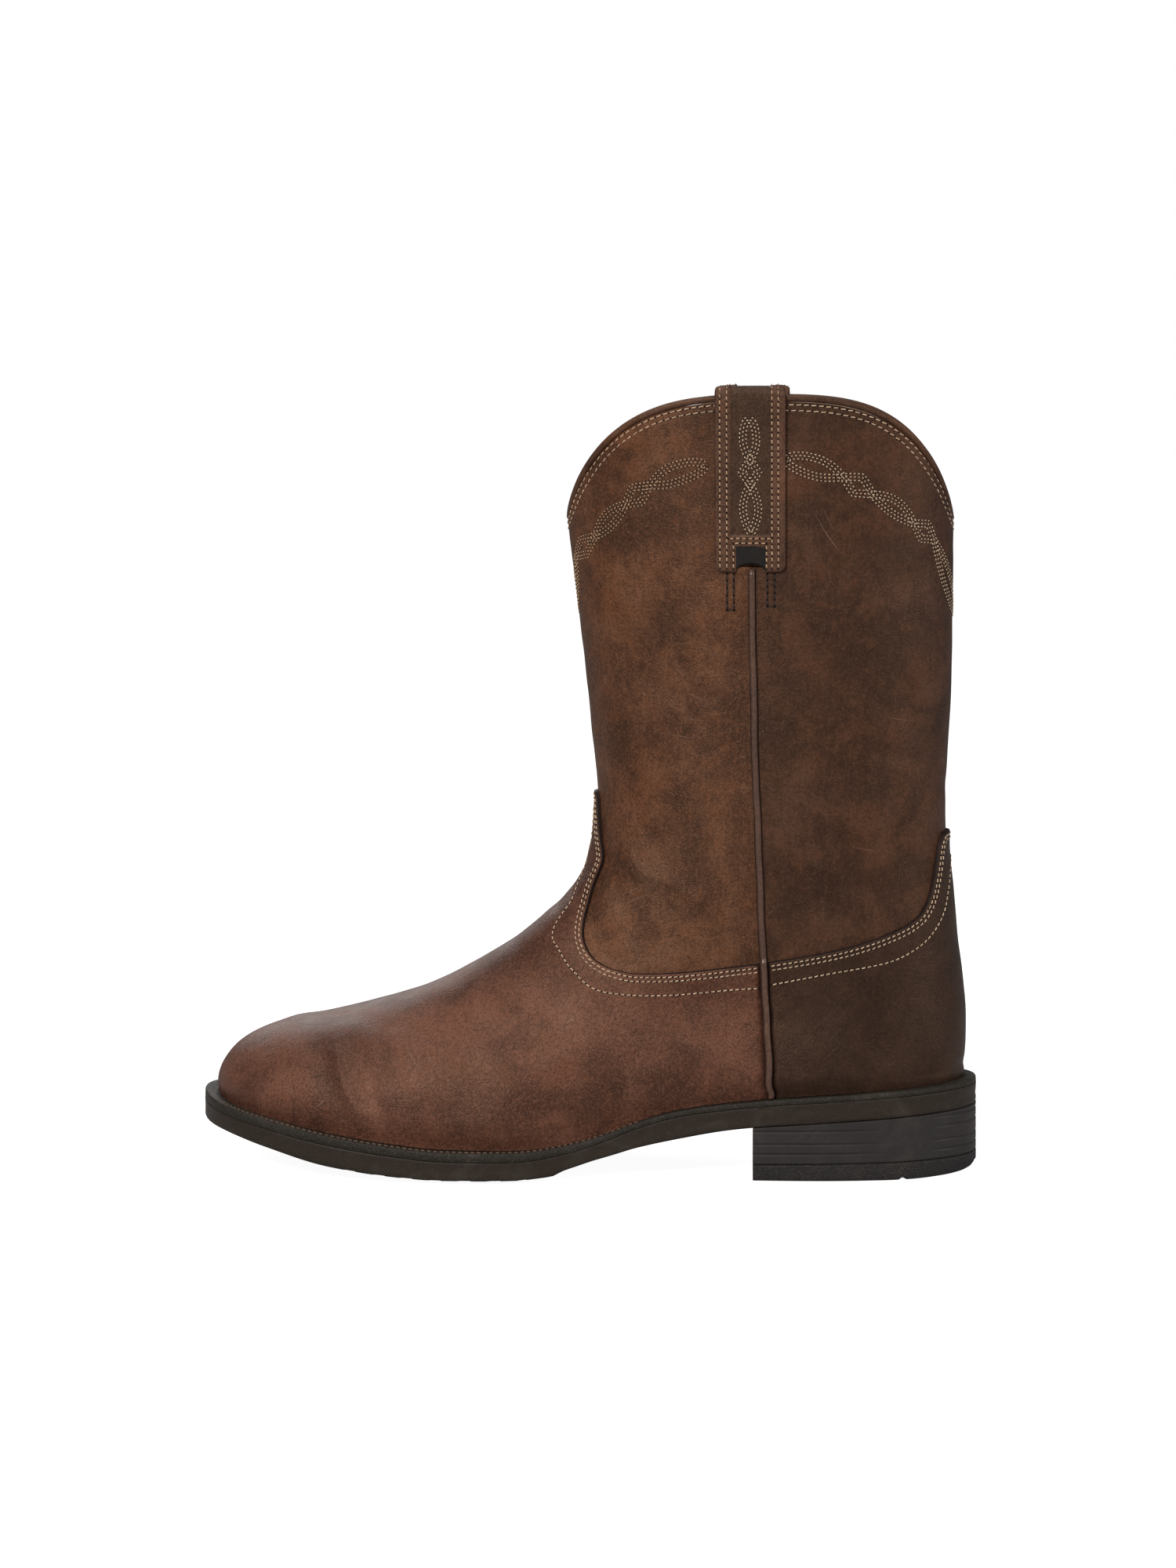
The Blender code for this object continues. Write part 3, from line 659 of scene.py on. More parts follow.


# Darker, lighter and rusty places of the hide, in millimetres in the boot's frame, how strong
# each kind is, and the share of a place's reach within which it is full. Most pale places are
# painted highlights, lighter where the light falls, and a few dark places are painted shade.

CLOUDS = (
    # x, y, z, reach along, reach across, reach up, kind
    (98, -38, 212, 30, 34, 40, "dark"),
    (80, -38, 158, 24, 34, 26, "dark"),
    (106, -36, 276, 30, 34, 24, "dark"),
    (84, -38, 254, 14, 30, 24, "dark"),
    (96, -38, 118, 30, 34, 24, "dark"),
    (40, -38, 240, 16, 26, 22, "dark"),
    (20, -32, 206, 16, 24, 22, "dark"),
    # Painted shade: darker where the front of the shaft turns away from the light.
    (10, -28, 165, 12, 24, 26, "dark"),
    (60, -38, 170, 7, 20, 60, "dark"),
    (112, -32, 60, 36, 34, 34, "dark"),
    # Painted shade: this place and the next darken the toe's crease and the vamp towards the sole.
    (-100, -40, 33, 9, 40, 18, "dark"),
    (-20, -45, 30, 46, 40, 12, "dark"),
    (-34, -28, 84, 30, 34, 12, "dark"),
    (-70, -26, 66, 30, 30, 8, "dark"),
    (20, -40, 36, 30, 30, 14, "dark"),
    (85, 38, 150, 34, 30, 44, "dark"),
    (60, 38, 230, 24, 30, 30, "dark"),
    (136, -24, 186, 26, 40, 26, "rust"),
    (140, -20, 182, 16, 34, 12, "pale"),
    (132, -26, 150, 18, 34, 22, "rust"),
    (112, -36, 168, 20, 30, 14, "rust"),
    (82, -38, 268, 12, 26, 10, "rust"),
    (10, -28, 284, 26, 30, 26, "rust"),
    (8, -28, 226, 16, 30, 30, "rust"),
    (24, -36, 150, 14, 28, 36, "rust"),
    (10, -34, 96, 16, 28, 22, "rust"),
    (46, 36, 180, 20, 24, 40, "rust"),
    (-62, -40, 62, 40, 40, 16, "rust"),
    # Painted highlights: the pale places from here to the vamp's band light the front of the shaft
    # and ankle, the toe and the vamp's upper side.
    (38, -38, 184, 17, 26, 30, "pale"),
    (30, -38, 134, 20, 28, 26, "pale"),
    (30, -38, 92, 40, 34, 20, "pale"),
    (14, -34, 104, 18, 28, 12, "pale"),
    (-126, -20, 48, 24, 44, 18, "pale"),
    (-114, -42, 34, 18, 34, 16, "pale"),
    (-136, -8, 40, 16, 34, 16, "pale"),
    (-30, -46, 62, 52, 40, 13, "pale"),
    (-78, -46, 30, 8, 30, 16, "pale"),
    (60, -38, 52, 22, 26, 16, "pale"),
)
CLOUD_KINDS = (("dark", 0.75), ("rust", 0.95), ("pale", 0.60))
SPOT_CORE = 0.15
SURFACE_OUTPUTS = (
    ("Colour", "NodeSocketColor"),
    ("Roughness", "NodeSocketFloat"),
    ("Height", "NodeSocketFloat"),
)


def hide_group():
    """Colour, roughness and height of an oiled, distressed hide, with painted highlights and
    painted shade at places of CLOUDS.
    """
    tree, source, sink = group("distressed_hide", (
        ("Place", "NodeSocketVector", None),
        ("Base", "NodeSocketColor", (0.12, 0.05, 0.03, 1)),
        ("Dark", "NodeSocketColor", (0.05, 0.02, 0.015, 1)),
        ("Pale", "NodeSocketColor", (0.2, 0.1, 0.07, 1)),
        ("Rust", "NodeSocketColor", (0.2, 0.07, 0.03, 1)),
        ("Mottle", "NodeSocketFloat", 0.5),
        ("Speckle", "NodeSocketFloat", 0.5),
    ), SURFACE_OUTPUTS)
    n = Tree(tree)
    place, base, dark, pale, rust, mottle, speckle = (
        source.outputs[label] for label in
        ("Place", "Base", "Dark", "Pale", "Rust", "Mottle", "Speckle"))
    tints = {"dark": dark, "pale": pale, "rust": rust}
    cloud = n.noise(place, 20, 4, 0.50, 0.8)
    patch = n.noise(place, 46, 5, 0.55, 0.6)
    fine = n.noise(place, 150, 5, 0.60, 0.4)
    speck = n.noise(place, 1000, 3, 0.7)
    dust = n.noise(place, 2200, 2, 0.6)
    drawn = n.noise(n.vector("MULTIPLY", place, (420, 420, 62)), 1.0, 5, 0.72, 0.9)
    brushed = n.noise(n.vector("MULTIPLY", place, (55, 200, 240)), 1.0, 5, 0.7, 1.2)
    colour = base
    # Places of CLOUDS: rusty and darker tones of the hide, painted highlights at the pale places
    # and painted shade at some dark ones.
    for kind, strength in CLOUD_KINDS:
        mask = None
        for *spot, what in CLOUDS:
            if what == kind:
                metres = tuple(size * MM for size in spot)
                spot = n.spot(place, metres[:3], metres[3:])
                mask = spot if mask is None else n.chained("MAXIMUM", mask, spot)
        uneven = n.mapped(n.plus(cloud, n.times(patch, 0.5)), 0.50, 0.80, 0.45, 1.0)
        colour = n.mix(n.times(mask, uneven, strength), colour, tints[kind])
    for value, low, high, tint, weight, strength in (
            (cloud, 0.48, 0.70, dark, mottle, 0.70), (cloud, 0.50, 0.30, rust, mottle, 0.70),
            (patch, 0.51, 0.62, dark, mottle, 0.66), (patch, 0.47, 0.34, pale, mottle, 0.50),
            (fine, 0.53, 0.64, rust, mottle, 0.55), (fine, 0.46, 0.35, dark, mottle, 0.45),
            (drawn, 0.52, 0.66, pale, mottle, 0.30), (drawn, 0.48, 0.34, dark, mottle, 0.38),
            (brushed, 0.54, 0.74, rust, mottle, 0.20), (brushed, 0.46, 0.28, dark, mottle, 0.18),
            (speck, 0.50, 0.64, pale, speckle, 0.70), (speck, 0.50, 0.36, dark, speckle, 0.85),
            (dust, 0.52, 0.66, pale, speckle, 0.50), (dust, 0.48, 0.34, dark, speckle, 0.60)):
        colour = n.mix(n.times(n.mapped(value, low, high), weight, strength), colour, tint)
    wobble = n.noise(place, 60, 3, output="Color")
    bent = n.vector("MULTIPLY_ADD", wobble, (0.004, 0.004, 0.004), place)
    grain = n.cells(bent, 1150)
    wrinkle = n.cells(bent, 260)
    folds = n.cells(n.vector("MULTIPLY", bent, (1.0, 1.0, 0.45)), 330)
    broken = n.mapped(patch, 0.44, 0.60)
    for lines, width, strength in ((folds, 0.07, 0.55), (grain, 0.16, 0.40)):
        amount = n.times(n.mapped(lines, width, 0.0), n.times(broken, strength))
        colour = n.mix(amount, colour, dark)
    height = n.plus(*(n.times(value, share) for value, share in (
        (n.mapped(grain, 0.0, 0.30), 0.55), (dust, 0.45), (n.mapped(wrinkle, 0.0, 0.05), 0.45),
        (fine, 1.6), (patch, 2.2))))
    rough = n.plus(n.times(fine, 0.26), 0.22, n.times(drawn, 0.10), n.times(speck, 0.10))
    n.feed(sink, ("Colour", colour), ("Roughness", rough), ("Height", height))
    return tree


def rubber_group():
    """Colour, roughness and height of moulded rubber."""
    tree, source, sink = group("moulded_rubber", (
        ("Place", "NodeSocketVector", None),
        ("Base", "NodeSocketColor", (0.02, 0.02, 0.02, 1)),
        ("Dust", "NodeSocketColor", (0.09, 0.075, 0.06, 1)),
        ("Pebble", "NodeSocketFloat", 0.0),
        ("Speckle", "NodeSocketFloat", 0.3),
    ), SURFACE_OUTPUTS)
    n = Tree(tree)
    place, base, dust, pebble, speckle = (
        source.outputs[label] for label in ("Place", "Base", "Dust", "Pebble", "Speckle"))
    wide = n.noise(place, 55, 6, 0.68, 0.6)
    fine = n.noise(place, 1100, 4, 0.7)
    specks = n.noise(place, 2600, 2, 0.7)
    colour = n.mix(n.times(n.mapped(wide, 0.45, 0.8), 0.5), base, dust)
    colour = n.mix(n.times(n.mapped(fine, 0.5, 0.75), speckle), colour, dust)
    colour = n.mix(n.times(n.mapped(specks, 0.66, 0.78), speckle), colour, dust)
    pebbles = n.mapped(n.cells(place, 1150), 0.0, 0.28)
    n.feed(sink, ("Colour", colour), ("Roughness", n.plus(n.times(wide, 0.25), 0.36)),
           ("Height", n.plus(n.times(fine, 0.5), n.times(pebbles, pebble))))
    return tree


def surface_material(name, shared, values, bump, specular):
    """A material with the colour, roughness and height of a shared group."""
    material, n, shader = made_material(name)
    surface = n.feed(n.add("ShaderNodeGroup", node_tree=shared), ("Place", n.place()),
                     *values.items())
    n.link(surface.outputs["Colour"], shader.inputs["Base Color"])
    n.link(surface.outputs["Roughness"], shader.inputs["Roughness"])
    n.bump(shader, surface.outputs["Height"], *bump)
    shader.inputs["Specular IOR Level"].default_value = specular
    return material, shader


def hide_material(name, shared, tones, mottle, speckle, grain, coat):
    """A hide from its base, dark, pale and rusty tones; pale and dark also paint highlights and
    shade.
    """
    values = {label: (*tone, 1) for label, tone in zip(("Base", "Dark", "Pale", "Rust"), tones)}
    values.update({"Mottle": mottle, "Speckle": speckle})
    material, shader = surface_material(name, shared, values, (grain, 0.00022), 0.44)
    shader.inputs["Specular Tint"].default_value = (1.0, 0.62, 0.42, 1)
    shader.inputs["Coat Weight"].default_value = coat
    shader.inputs["Coat Roughness"].default_value = 0.22
    return material


def shaded_material(name, base, dark, shade, roughness, grain, bump):
    """A colour that a noise darkens, with a fine bump; noises as scale, detail, roughness."""
    material, n, shader = made_material(name)
    place = n.place()
    low = tuple(c * dark for c in base) + (1,)
    colour = n.mix(n.mapped(n.noise(place, *shade), 0.3, 0.7), low, (*base, 1))
    n.link(colour, shader.inputs["Base Color"])
    shader.inputs["Roughness"].default_value = roughness
    n.bump(shader, n.noise(place, *grain), *bump)
    return material, shader


HIDES = {
    # colour, mottle, speckle, grain, coat
    "front_hide": ("front_panel", 0.95, 0.7, 0.5, 0.0),
    "back_hide": ("back_panel", 0.90, 0.6, 0.5, 0.0),
    # The darker tone also paints shade, and the paler one highlights, at places of CLOUDS.
    "vamp_hide": ("vamp", 0.55, 0.7, 0.5, 0.0),
    "counter_hide": ("counter", 0.45, 0.5, 0.45, 0.0),
    "strap_hide": ("strap", 0.45, 0.5, 0.4, 0.0),
    "strap_dark": ("strap_middle", 0.40, 0.6, 0.5, 0.0),
    "bead_hide": ("bead", 0.40, 0.4, 0.4, 0.0),
    "cord_hide": ("cord", 0.25, 0.4, 0.35, 0.6),
}
PLAINS = {
    # colour, roughness, noise scale, share of the darker tone
    # Burnished cut edges; the same dark also paints the shade strips beside the side cords.
    "edge_hide": ("edge", 0.6, 300, 0.6),
    "window_hide": ("window", 0.33, 260, 0.75),
    "lining_hide": ("lining", 0.75, 60, 0.75),
    "insole_board": ("insole", 0.8, 40, 0.7),
    # Dark discs of painted shade in the needle holes.
    "hole_dark": ("hole", 0.9, 900, 0.5),
    "scratch_pale": ("scratch", 0.6, 1400, 0.55),
}
THREADS = {"thread_pale": "thread", "thread_tan": "thread_tan", "thread_brown": "thread_brown",
           "thread_welt": "thread_welt"}
RUBBERS = {
    # colour, pebble, bump, speckle
    "outsole_rubber": ("rubber", 0.1, 0.45, 0.35),
    "heel_rubber": ("heel", 0.1, 0.4, 0.25),
    "welt_rubber": ("welt", 0.4, 0.9, 0.75),
    "cap_rubber": ("heel", 1.0, 1.0, 0.35),
}


def found_material(name):
    """The boot's materials, made once."""
    if name in bpy.data.materials:
        return bpy.data.materials[name]
    colours = bpy.context.scene.boot_colours
    if name in HIDES:
        hide = bpy.data.node_groups.get("distressed_hide") or hide_group()
        colour, *looks = HIDES[name]
        base = tuple(getattr(colours, colour))
        tones = [base]
        for factor in (colours.darker, colours.paler_and_sheen, colours.rustier):
            tones.append(tuple(c * f for c, f in zip(base, factor)))
        return hide_material(name, hide, tones, *looks)
    if name in THREADS:
        base = tuple(getattr(colours, THREADS[name]))
        return shaded_material(name, base, 0.55, (700, 3, 0.6), 0.7, (3000, 2, 0.5),
                               (0.4, 0.0001))[0]
    if name in PLAINS:
        colour, roughness, scale, dark = PLAINS[name]
        material, shader = shaded_material(name, tuple(getattr(colours, colour)), dark,
                                           (scale, 5, 0.6), roughness, (1800, 3, 0.6),
                                           (0.2, 0.0002))
        shader.inputs["Specular IOR Level"].default_value = 0.2
        return material
    rubber = bpy.data.node_groups.get("moulded_rubber") or rubber_group()
    colour, pebble, strength, speckle = RUBBERS[name]
    values = {"Base": (*getattr(colours, colour), 1), "Dust": (*colours.dust, 1),
              "Pebble": pebble, "Speckle": speckle}
    return surface_material(name, rubber, values, (strength, 0.0003), 0.18)[0]


# Building pieces

def piece(name, points, faces, materials, slot, *nodes, kinds=None):
    """A named piece that rides on the boot and stands for the nodes given."""
    mesh = bpy.data.meshes.new(name)
    mesh.from_pydata(points, [], faces)
    mesh.polygons.foreach_set("use_smooth", [True] * len(mesh.polygons))
    if isinstance(materials, str):
        materials = (materials,)
    for made in materials:
        mesh.materials.append(found_material(made))
    if kinds:
        mesh.polygons.foreach_set("material_index", kinds)
    body = bpy.data.objects.new(name, mesh)
    bpy.context.scene.collection.objects.link(body)
    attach(body, "root")
    if nodes:
        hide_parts(*nodes)
    return body


def grid_faces(rows, columns, round_columns=False, round_rows=False, base=0, flip=False):
    faces = []
    for j in range(rows if round_rows else rows - 1):
        for i in range(columns if round_columns else columns - 1):
            here, there = base + j * columns, base + (j + 1) % rows * columns
            k = (i + 1) % columns
            corners = (here + i, here + k, there + k, there + i)
            faces.append(corners[::-1] if flip else corners)
    return faces


def end_faces(rows, count):
    """First and last face of a tube of rings."""
    return [tuple(reversed(range(count))), tuple((rows - 1) * count + i for i in range(count))]


def ring_piece(name, rows, material, slot, node, flip=False, ends=False):
    """Piece of rings with the same count of points."""
    count = len(rows[0])
    faces = grid_faces(len(rows), count, True, flip=flip)
    if ends:
        faces += end_faces(len(rows), count)
    return piece(name, [point for row in rows for point in row], faces, material, slot, node)


def circle(radius, count, lift=0):
    """Round section as (across, out)."""
    turns = [FULL_TURN * i / count for i in range(count)]
    return [(radius * math.cos(turn), lift + radius * math.sin(turn)) for turn in turns]


def sized(form, rise, angle, out, relief=True):
    """Point at a distance outside the upper's face, with the leather's relief."""
    point, normal, _, _ = form.frame(rise, angle)
    if relief:
        out += form.relief(point) * smooth(rise / 0.05) * smooth((1 - rise) / 0.03)
    return point + normal * out


def upper_pieces(form):
    columns = 320
    low = [0.28 * i / 8 for i in range(8)]
    high = [0.28 + 0.72 * i / 170 for i in range(171)]
    rows = [(rise, 0) for rise in low + high]
    rows[-1] = (1.0, -0.15 * MM)
    rows.append((1.0, -form.wall * 0.5))
    points = []
    kinds = []
    for j, (rise, out) in enumerate(rows):
        points += [sized(form, rise, FULL_TURN * i / columns, out) for i in range(columns)]
        if j == len(rows) - 1:
            break
        outer_seam, inner_seam = form.seam_turn(rise, True), form.seam_turn(rise, False)
        for i in range(columns):
            middle = FULL_TURN * (i + 0.5) / columns
            kinds.append(1 if outer_seam < middle < inner_seam else 0)
    piece("shaft_leather", points, grid_faces(len(rows), columns, True),
          ("front_hide", "back_hide"), "leather_brown", "upper", kinds=kinds)
    columns = 160
    rows = [(1.0, -form.wall * 0.45), (1.0, -form.wall + 0.15 * MM)]
    rows += [(1 - i / 60, -form.wall) for i in range(61)]
    points = []
    for rise, out in rows:
        points += [sized(form, rise, FULL_TURN * i / columns, out, False) for i in range(columns)]
    piece("shaft_lining", points, grid_faces(len(rows), columns, True), "lining_hide",
          "leather_brown")


CORD_RADIUS = 1.25
BEAD_RADIUS = 1.35
# Painted shade: dark strips beside each side cord stand in for the shade where the seam dips.
CORD_SHADE_STRIP = (1.0, 1.55)  # from and to, in millimetres beside the cord's middle
EDGE_PROFILE = (
    # distance from the edge in millimetres, share of the thickness
    (1.6, 1.0), (1.0, 1.02), (0.6, 0.98), (0.3, 0.85), (0.12, 0.6), (0.0, 0.1),
)


def overlay_piece(form, name, node, top, back, columns, rows, material):
    """Overlay patch with rolled edges, over the toe or over the heel."""
    full = form.overlay + form.gap
    roll = EDGE_PROFILE[0][0]
    profile = tuple(reversed(EDGE_PROFILE))
    grid = []
    for i in range(columns):
        share = 2 * i / (columns - 1) - 1
        outer = share > 0
        share = abs(share)

        def turn_at(rise):
            reach, _ = form.overlay_reach(rise, outer, back)
            return math.pi - share * reach if back else share * reach

        rise_top = 0.4
        for _ in range(12):
            rise_top = 0.5 * rise_top + 0.5 * spline(top, turn_at(rise_top), 1)
        turn = turn_at(rise_top)
        pitch = (form.at(rise_top, turn) - form.at(rise_top - 0.01, turn)).length / 0.01
        limit = rise_top - roll * MM / pitch
        heights = [limit * j / rows for j in range(rows)]
        heights += [rise_top - distance * MM / pitch for distance, _ in EDGE_PROFILE]
        thick = [1.0] * rows + [value for _, value in EDGE_PROFILE]
        line = []
        for rise, value in zip(heights, thick):
            reach, spread = form.overlay_reach(rise, outer, back)
            turn = turn_at(rise)
            side = (1 - share) * reach * spread / MM
            if side < roll:
                value *= spline(profile, side, 1)
            angle = sided(turn, outer)
            line.append(sized(form, rise, angle, full * value))
        grid.append(line)
    points = [line[j] for j in range(len(grid[0])) for line in grid]
    count = len(grid[0])
    faces = grid_faces(count, columns, flip=not back)
    kinds = [1 if j >= count - 4 else 0 for j in range(count - 1) for _ in range(columns - 1)]
    return piece(name, points, faces, (material, "edge_hide"), "leather_dark", node, kinds=kinds)


def swept(name, path, section, material, slot, node, closed=False):
    """Tube of a section carried along a path of (point, across, out)."""
    points = []
    for point, across, out in path:
        points += [point + across * a + out * b for a, b in section]
    count = len(section)
    faces = grid_faces(len(path), count, True, closed)
    if not closed:
        faces += end_faces(len(path), count)
    return piece(name, points, faces, material, slot, node)


def side_cords(form):
    section = circle(CORD_RADIUS * MM, 14, 1.0 * MM)
    shade_strips, shade_strip_faces = [], []
    for outer in (True, False):
        path = []
        for step in range(171):
            rise = 0.838 * (1 - step / 170) + 0.002
            angle = form.seam_turn(rise, outer)
            point, normal, _, along = form.frame(rise, angle)
            lift = form.relief(point) + (form.overlay * 0.7 if rise < 0.37 else 0)
            path.append((point + normal * lift, along.normalized(), normal))
        name = "side_cord_outer" if outer else "side_cord_inner"
        node = "side_piping_outer" if outer else "side_piping_inner"
        swept(name, path, section, "cord_hide", "leather_dark", node)
        # Painted shade: a dark strip on each side of the cord, just above the hide.
        for side in (-1, 1):
            rows = [tuple(point + across * side * away * MM + out * 0.10 * MM for away in CORD_SHADE_STRIP)
                    for point, across, out in path]
            base = len(shade_strips)
            for near, far in rows:
                shade_strips += [near, far] if side < 0 else [far, near]
            shade_strip_faces += grid_faces(len(rows), 2, base=base)
    piece("cord_gutters", shade_strips, shade_strip_faces, "edge_hide", "leather_dark")


def collar_bead(form):
    section = circle(BEAD_RADIUS * MM, 14)
    path = []
    for i in range(360):
        angle = FULL_TURN * i / 360
        point, normal, _, along = form.frame(1, angle)
        level = along.normalized()
        upright = normal.cross(level)
        if upright.z < 0:
            upright = -upright
        middle = point - normal * form.wall / 2 + upright * 1.5 * MM
        path.append((middle, normal, upright))
    swept("collar_bead", path, section, "bead_hide", "leather_black", "collar_piping",
          closed=True)


# Stitches

STITCHES = {
    # pitch and thread radius in millimetres, share of the pitch, slant
    "overlay": (2.2, 0.25, 0.78, 0.16),
    "guard": (2.35, 0.25, 0.78, 0.1),
    "collar": (2.9, 0.23, 0.76, 0.1),
    "chain": (1.65, 0.21, 0.66, 0.0),
    "strap": (2.4, 0.25, 0.72, 0.08),
    "strap chain": (1.6, 0.21, 0.66, 0.0),
    "tail": (2.6, 0.34, 0.78, 0.0),
    "welt": (2.4, 0.36, 0.74, 0.0),
}
OVERLAY_ROWS = (1.5, 3.1)
COLLAR_ROWS = (0.9, 3.1)
STRAP_CHAIN_PITCH = 1.25
WELT_SEWN = 1.72
HOLE_SHARE = 1.35
WOBBLE = 0.07


class Sewing:
    """Threads and their needle holes, the holes dark discs of painted shade, gathered for one
    piece.
    """

    def __init__(self):
        self.points, self.faces, self.kinds = [], [], []
        self.rng = random.Random(7)

    def stitch(self, centre, along, out, length, radius):
        """One stitch: a thread that rises out of the hide and dives back."""
        across = along.cross(out).normalized()
        base = len(self.points)
        sides = 6
        for place, thick, lift in ((-0.5, 0.4, -0.8), (-0.34, 0.9, 0.25), (0, 1.0, 0.6),
                                   (0.34, 0.9, 0.25), (0.5, 0.4, -0.8)):
            middle = centre + along * (place * length) + out * (lift * radius)
            for i in range(sides):
                turn = FULL_TURN * i / sides
                way = across * math.cos(turn) + out * math.sin(turn)
                self.points.append(middle + way * radius * thick)
        self.faces += grid_faces(5, sides, True, base=base, flip=True)
        self.kinds += [0] * (4 * sides)

    def hole(self, centre, along, out, radius):
        """Dark disc of painted shade for a needle hole, drawn out along the row."""
        across = out.cross(along).normalized()
        base = len(self.points)
        for i in range(8):
            turn = FULL_TURN * i / 8
            way = along * (1.5 * math.cos(turn)) + across * math.sin(turn)
            self.points.append(centre + out * 0.05 * MM + way * radius)
        self.faces.append(tuple(range(base, base + 8)))
        self.kinds.append(1)

    def row(self, places, kind):
        """Stitches of a kind along places of (point, normal)."""
        pitch, radius, share, slant = STITCHES[kind]
        pitch, radius = pitch * MM, radius * MM
        run = [0]
        for (a, _), (b, _) in zip(places, places[1:]):
            run.append(run[-1] + (b - a).length)
        count = max(1, round(run[-1] / pitch))
        step = run[-1] / count

        def found(at):
            j = 0
            while j < len(run) - 2 and run[j + 1] < at:
                j += 1
            part = (at - run[j]) / max(1e-9, run[j + 1] - run[j])
            out = places[j][1].lerp(places[j + 1][1], part).normalized()
            along = (places[j + 1][0] - places[j][0]).normalized()
            return places[j][0].lerp(places[j + 1][0], part), along, out

        for i in range(count + 1):
            self.hole(*found(min(run[-1], i * step)), radius * HOLE_SHARE)
        for i in range(count):
            centre, along, out = found((i + 0.5) * step)
            lean = slant + self.rng.uniform(-WOBBLE, WOBBLE)
            along = (along + out.cross(along) * lean).normalized()
            self.stitch(centre, along, out, step * share, radius)

    def made(self, name, material, slot):
        piece(name, self.points, self.faces, (material, "hole_dark"), slot, kinds=self.kinds)


def laid(form, line, out=0):
    """Places (point, normal) on the hide of a line of (rise, angle)."""
    places = []
    for rise, angle in line:
        point, normal, _, _ = form.frame(rise, angle)
        places.append((point + normal * (out + form.relief(point)), normal))
    return places


def beside(places, distance):
    """Line beside another one, on the left as it runs, seen from outside."""
    moved = []
    last = len(places) - 1
    for i, (point, normal) in enumerate(places):
        ahead = places[min(last, i + 1)][0] - places[max(0, i - 1)][0]
        moved.append((point + normal.cross(ahead).normalized() * distance, normal))
    return moved


def table_line(table, start, end, outer):
    line = []
    count = 110
    for i in range(count + 1):
        turn = start + (end - start) * i / count
        line.append((spline(table, turn, 1), sided(turn, outer)))
    return line


def seam_stitches(form):
    full = form.overlay + form.gap
    double, single = Sewing(), Sewing()
    for outer in (True, False):
        down = -1 if outer else 1
        for table, guard, back in ((VAMP_TOP, VAMP_GUARD, False),
                                   (COUNTER_TOP, COUNTER_GUARD, True)):
            ends = []
            for rows in (table, guard):
                reach, spread = form.overlay_reach(spline(rows, SEAM_TURN, 1), outer, back)
                stop = reach - 0.8 * MM / spread
                ends.append((math.pi - stop, math.pi) if back else (rows[0][0], stop))
            edge = laid(form, table_line(table, *ends[0], outer), full)
            for offset in OVERLAY_ROWS:
                double.row(beside(edge, down * offset * MM), "overlay")
            single.row(laid(form, table_line(guard, *ends[1], outer), full), "guard")
    double.made("overlay_stitches", "thread_pale", "leather_brown")
    single.made("guard_stitches", "thread_pale", "leather_brown")


def collar_stitches(form):
    sewing = Sewing()
    for offset in COLLAR_ROWS:
        line = []
        for i in range(361):
            rise, turn = form.shifted(1.0, FULL_TURN * i / 360, 0, -offset * MM)
            line.append((min(1, rise), turn))
        sewing.row(laid(form, line), "collar")
    sewing.made("collar_stitches", "thread_pale", "leather_brown")


def bulge(shape, share):
    """How far a stitched shape stands off its axis, 0 to 1."""
    if shape == "square":
        return 1 - abs(2 * share - 1)
    if shape == "end leaf" and share < 0.5:
        return math.sqrt(max(0, 1 - (1 - 2 * share) ** 2))
    return math.sin(math.pi * share) ** 0.9


def chain_waves(shapes):
    """Two waves that cross between shapes, as places (from, share, offset)."""
    waves = []
    for start_side in (1, -1):
        side = start_side
        wave = []
        for number, row in enumerate(shapes):
            count = 12 if row[5] == "square" else 18
            for i in range(0 if number == 0 else 1, count + 1):
                share = i / count
                wave.append((row, share, side * row[4] * bulge(row[5], share)))
            side = -side
        waves.append(wave)
    return waves


def chain_stitches(form):
    for number, shapes in enumerate(CHAIN):
        sewing = Sewing()
        for outer in (True, False):
            for wave in chain_waves(shapes):
                line = []
                for (turn, rise, to_turn, to_rise, _, _), share, offset in wave:
                    here = turn + (to_turn - turn) * share
                    at_rise = rise + (to_rise - rise) * share
                    ends = [form.at(r, sided(a, outer))
                            for r, a in ((rise, turn), (to_rise, to_turn))]
                    angle = sided(here, outer)
                    _, normal, _, _ = form.frame(at_rise, angle)
                    across = normal.cross(ends[1] - ends[0]).normalized()
                    line.append(form.moved(at_rise, angle, across * offset * MM))
                places = laid(form, line)
                for spread in (-CHAIN_PITCH, 0, CHAIN_PITCH):
                    row = beside(places, spread * MM) if spread else places
                    sewing.row(row, "chain")
        name = "chain_stitches_back" if number == 0 else "chain_stitches_front"
        sewing.made(name, "thread_pale" if number == 0 else "thread_tan", "leather_brown")


def scratch_marks(form):
    points, faces = [], []
    for ax, az, bx, bz, width, side in SCRATCHES:
        middle_x, middle_z = (ax + bx) / 2 + (bz - az) * 0.06, (az + bz) / 2 - (bx - ax) * 0.06
        line = []
        for i in range(9):
            s = i / 8
            x = (1 - s) ** 2 * ax + 2 * s * (1 - s) * middle_x + s * s * bx
            z = (1 - s) ** 2 * az + 2 * s * (1 - s) * middle_z + s * s * bz
            line.append(form.on_side(x * MM, z * MM, side < 0))
        rise, angle = line[4]
        turn = sided(angle, side < 0)
        table = VAMP_TOP if turn < form.seam_turn(rise, True) else COUNTER_TOP
        top = spline(table, turn, 1)
        out = (form.overlay + form.gap if rise < top else 0) + 0.03 * MM
        places = laid(form, line, out)
        base = len(points)
        for i, (place, normal) in enumerate(places):
            ahead = places[min(8, i + 1)][0] - places[max(0, i - 1)][0]
            across = normal.cross(ahead).normalized()
            half = width * 0.5 * MM * math.sin(math.pi * (0.06 + 0.88 * i / 8))
            points += [place + across * half, place - across * half]
        faces += grid_faces(9, 2, base=base)
    piece("scratch_marks", points, faces, "scratch_pale", "leather_brown")


# Pull straps

